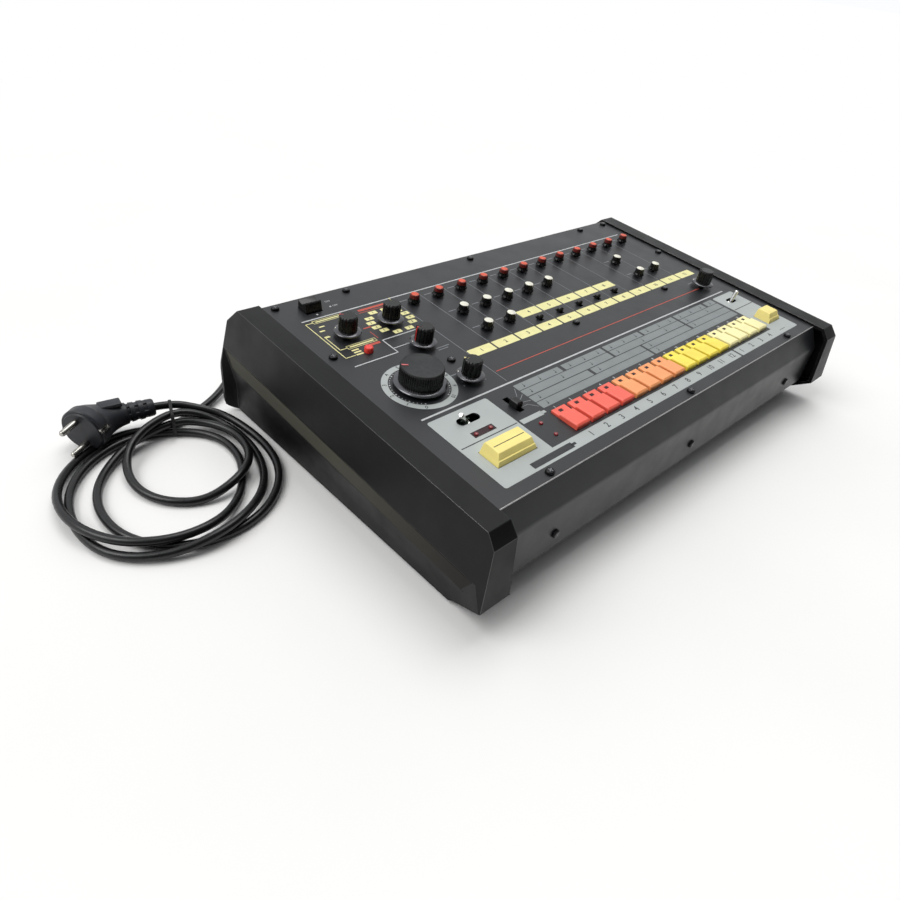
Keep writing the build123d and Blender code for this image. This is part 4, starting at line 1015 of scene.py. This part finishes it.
def rule_prints():
    """Long rules and the thin lines between the voice columns."""
    light = Print("light_rules", ink_white)
    light.line([(-209.8, 235.0), (212.8, 235.0)], 1.3)
    light.line([(-209.2, 90.8), (203.0, 90.8)], 1.5)
    light.done()
    dim = Print("column_rules", ink_dim)
    dim.line([(COLUMN_RULES[0], 234.0), (COLUMN_RULES[0], 94.0)], 0.5)
    for u in COLUMN_RULES[1:]:
        dim.line([(u, 234.0), (u, 141.5)], 0.5)
    dim.done()
    red = Print("red_rule", ink_red)
    red.line([(-119.5, 107.0), (185.0, 107.0)], 0.8)
    red.done()


def voice_labels():
    """Pale numbered boxes under the voice columns, and a dash beside each knob."""
    columns = range(1, COLUMN_COUNT + 1)
    boxes = Print("voice_label_boxes", ink_cream)
    numbers = Print("voice_label_numbers", ink_dark, 2 * INK)
    for numbered, middle, half_height in ((columns, 134.8, 4.9), (SELECTOR_COLUMNS, 159.6, 5.2)):
        for column in numbered:
            u = column_u(column)
            boxes.box(u - 13.0, middle - half_height, u + 13.0, middle + half_height, 0.5)
            numbers.figure(str(column), u, middle, 5.4, 0.0, 0.08)
    boxes.done()
    numbers.done()
    dashes = Print("knob_dashes", ink_dim)
    for u, v in [(column_u(k), LEVEL_ROW) for k in columns] + tone_spots():
        dashes.line([(u - 10.2, v + 6.6), (u - 3.0, v + 6.6)], 0.9)
    for u, v in (FINE_TEMPO_SPOT, VOLUME_SPOT):
        dashes.line([(u - 10.5, v + 9.6), (u - 2.5, v + 9.6)], 0.9)
    dashes.done()


def mode_field():
    """Lines, label frames and dial tabs round the mode and instrument knobs."""
    pale = Print("mode_field_lines", ink_white)
    pale.line([(-210.3, 165.0), (-169.8, 165.0), (-169.8, 184.4), (-133.7, 184.4)], 1.0)
    pale.line([(-168.6, 171.0), (-153.5, 171.0)], 0.7)
    pale.dot(-192.6, 240.0, 0.9)
    pale.dot(-175.8, 246.0, 0.9)
    pale.figure("ON", -173.2, 254.2, 3.0)
    pale.figure("OFF", -171.0, 246.0, 3.0)
    pale.done()
    cream = Print("mode_field_brackets", ink_cream)
    cream.line([(-203.0, 230.5), (-209.8, 230.5), (-209.8, 177.2), (-201.0, 177.2)], 0.7)
    cream.line([(-203.6, 209.0), (-207.0, 209.0), (-207.0, 188.3), (-200.5, 188.3)], 0.7)
    for u0, v0, u1, v1 in ((-203.0, 228.6, -176.0, 232.6), (-200.5, 186.2, -173.5, 190.4)):
        cream.line([(u0, v0), (u1, v0), (u1, v1), (u0, v1), (u0, v0)], 0.5)
        cream.box(u0 + 2.2, v0 + 1.3, u1 - 2.2, v1 - 1.3)
    for u, v in ((-203.4, 217.0), (-205.0, 207.8), (-200.0, 222.8)):
        cream.box(u - 2.4, v - 0.7, u + 2.4, v + 0.7)
    for k in range(3):
        cream.box(-200.0, 182.6 - 3.1 * k, -193.6, 184.2 - 3.1 * k)
    offsets = [(17.7, 3.5), (14.7, 9.8), (6.2, 16.3)]
    tabs = [(su * du, sv * dv) for du, dv in offsets for su in (-1, 1) for sv in (-1, 1)]
    tabs.sort(key=lambda tab: -math.atan2(-tab[0], -tab[1]))
    numbers = Print("instrument_tab_numbers", ink_dark, 2 * INK)
    for count, (du, dv) in enumerate(tabs, start=1):
        u, v = -144.3 + du, 205.6 + dv
        cream.box(u - 3.9, v - 2.2, u + 3.9, v + 2.2, 0.7)
        numbers.figure(str(count), u, v, 3.1, 0.0, 0.05)
    numbers.done()
    cream.done()
    red = Print("mode_field_red", ink_red)
    red.line([(-161.0, 226.0), (-131.0, 226.0)], 0.6)
    red.box(-160.0, 228.2, -133.0, 230.8)
    red.box(-184.6, 182.2, -173.0, 184.8)
    red.line([(-170.8, 199.0), (-170.8, 189.0)], 0.6)
    red.line([(-172.0, 205.0), (-166.0, 205.0)], 1.4)
    red.done()
    small = Print("left_small_marks", ink_dim)
    small.line([(-156.5, 171.5), (-152.0, 171.5)], 1.1)
    small.line([(-139.5, 154.2), (-127.0, 154.2)], 1.0)
    small.line([(-139.5, 151.6), (-130.0, 151.6)], 1.0)
    for u, v in ((-155.5, 105.5), (-134.8, 103.6), (-153.2, 110.0), (-136.4, 110.4)):
        small.dot(u, v, 0.55)
    small.done()


def circle_spot(middle, radius, angle):
    way = math.radians(angle)
    return middle[0] + radius * math.cos(way), middle[1] + radius * math.sin(way)


def tempo_dial():
    """Light ring with the figures 0 to 10 round the large knob."""
    ring = turned([(23.3, 0), (28.2, 0), (28.2, INK), (23.3, INK), (23.3, 0)], 128)
    finished("tempo_ring", ring, on_panel(*TEMPO_SPOT), ink_plate)
    figures = Print("tempo_figures", ink_dark, 2 * INK)
    dots = Print("tempo_dots", ink_white)
    for count in range(11):
        angle = TEMPO_ZERO - TEMPO_TURN * count
        across, up = circle_spot(TEMPO_SPOT, 25.8, angle)
        figures.figure(str(count), across, up, 4.4, angle - 90, 0.06)
    for tick in range(10 * TEMPO_TICKS + 1):
        across, up = circle_spot(TEMPO_SPOT, 22.1, TEMPO_ZERO - TEMPO_TURN / TEMPO_TICKS * tick)
        dots.dot(across, up, 0.4 if tick % TEMPO_TICKS else 0.6)
    figures.done()
    dots.done()


def plates():
    """Light grey fields round the keys, and their dark lines and arrows."""
    field = Print("light_fields", ink_plate)
    left_holes = [
        (-191.0, 71.0, -170.6, 78.6, 3.75),
        (-190.95, 56.85, -170.05, 62.75, 0.3),
        (-200.0, 26.55, -161.2, 45.45, 0.5),
    ]
    right_holes = [(187.0, 70.8, 200.0, 78.4, 3.75), (184.15, 27.15, 207.45, 44.45, 0.5)]
    field.field(-209.4, 10.6, -152.2, 86.4, 2.0, left_holes)
    field.field(175.6, 10.6, 213.3, 86.4, 2.0, right_holes)
    field.box(-150.2, 49.6, -128.0, 54.2)
    field.box(-129.0, 50.6, -124.5, 53.2)
    field.done()
    strip = Print("light_strips", ink_plate, 0.8 * INK)
    strip.box(-154.4, 10.6, 98.3, 21.1, 1.2)
    strip.box(100.6, 10.6, 177.8, 21.1, 1.2)
    strip.done()
    dark = Print("field_lines", ink_dark, 2 * INK)
    dark.line([(-207.0, 53.3), (-153.7, 53.3)], 0.8)
    dark.line([(177.0, 61.0), (212.0, 61.0)], 0.8)
    dark.box(-179.0, 12.9, -137.0, 18.2)
    dark.line([(-137.5, 15.6), (-134.6, 15.6)], 2.2)
    dark.line([(184.0, 15.3), (194.0, 15.3)], 0.5)
    dark.done()


GRID_LEFT = -122.9
GRID_RIGHT = 171.7


def scale_grid():
    """Four rows of bars with a mark for each beat, and the leads from the slide switch."""
    # Lower and upper edges of each row, where its bars break off and go on, and the steps from mark to mark.
    rows = [
        (79.4, 86.4, (-70.7, -66.8, -14.1, -11.1, 41.4, 44.4, 97.8, 100.9, 152.2, 156.1), 1),
        (71.1, 78.7, (-14.1, -11.1, 97.8, 100.9), 2),
        (62.9, 70.2, (-51.7, -48.3, 23.1, 25.8, 97.8, 100.9), 4),
        (54.7, 62.2, (23.1, 25.8), 8),
    ]
    bars = Print("scale_bars", ink_grid)
    notes = Print("scale_notes", ink_dark, 2 * INK)
    for low, high, breaks, stride in rows:
        ends = (GRID_LEFT, *breaks, GRID_RIGHT)
        for u0, u1 in zip(ends[::2], ends[1::2]):
            bars.box(u0, low, u1, high, 0.6)
        middle = (low + high) / 2
        for step in range(0, STEP_COUNT, stride):
            u = step_u(step)
            notes.dot(u - 0.5, middle - 1.3, 0.75)
            notes.line([(u + 0.1, middle - 1.2), (u + 0.1, middle + 1.9)], 0.35)
    bars.done()
    notes.done()
    leads = Print("scale_leads", ink_dim)
    for v0, v1 in ((75.2, 83.0), (71.6, 75.0), (68.0, 66.6), (64.4, 58.4)):
        leads.line([(-135.2, v0), (-130.0, v0), (-124.5, v1)], 0.5)
    leads.done()


def step_figures():
    """Step numbers behind the keys, and larger ones in the light strip before them."""
    small = Print("step_numbers", ink_white)
    large = Print("voice_numbers", ink_figure, 2 * INK)
    for step in range(STEP_COUNT):
        small.figure(str(step + 1), step_u(step), 51.4, 3.4, 0.0, 0.06)
        large.figure(str(step % COLUMN_COUNT + 1), step_u(step) - 0.4, 15.9, 7.6, 0.0, 0.08)
    small.done()
    large.done()


def key_lines():
    """Thin line across the top of the start key."""
    strip, place = plate(29.0, 0.6, 0.08), on_panel(-180.6, 37.6, 8.0)
    line = finished("start_stop_key_line", strip, place, ink_dark, "start_stop_key")


rule_prints()
voice_labels()
mode_field()
tempo_dial()
plates()
scale_grid()
step_figures()
key_lines()
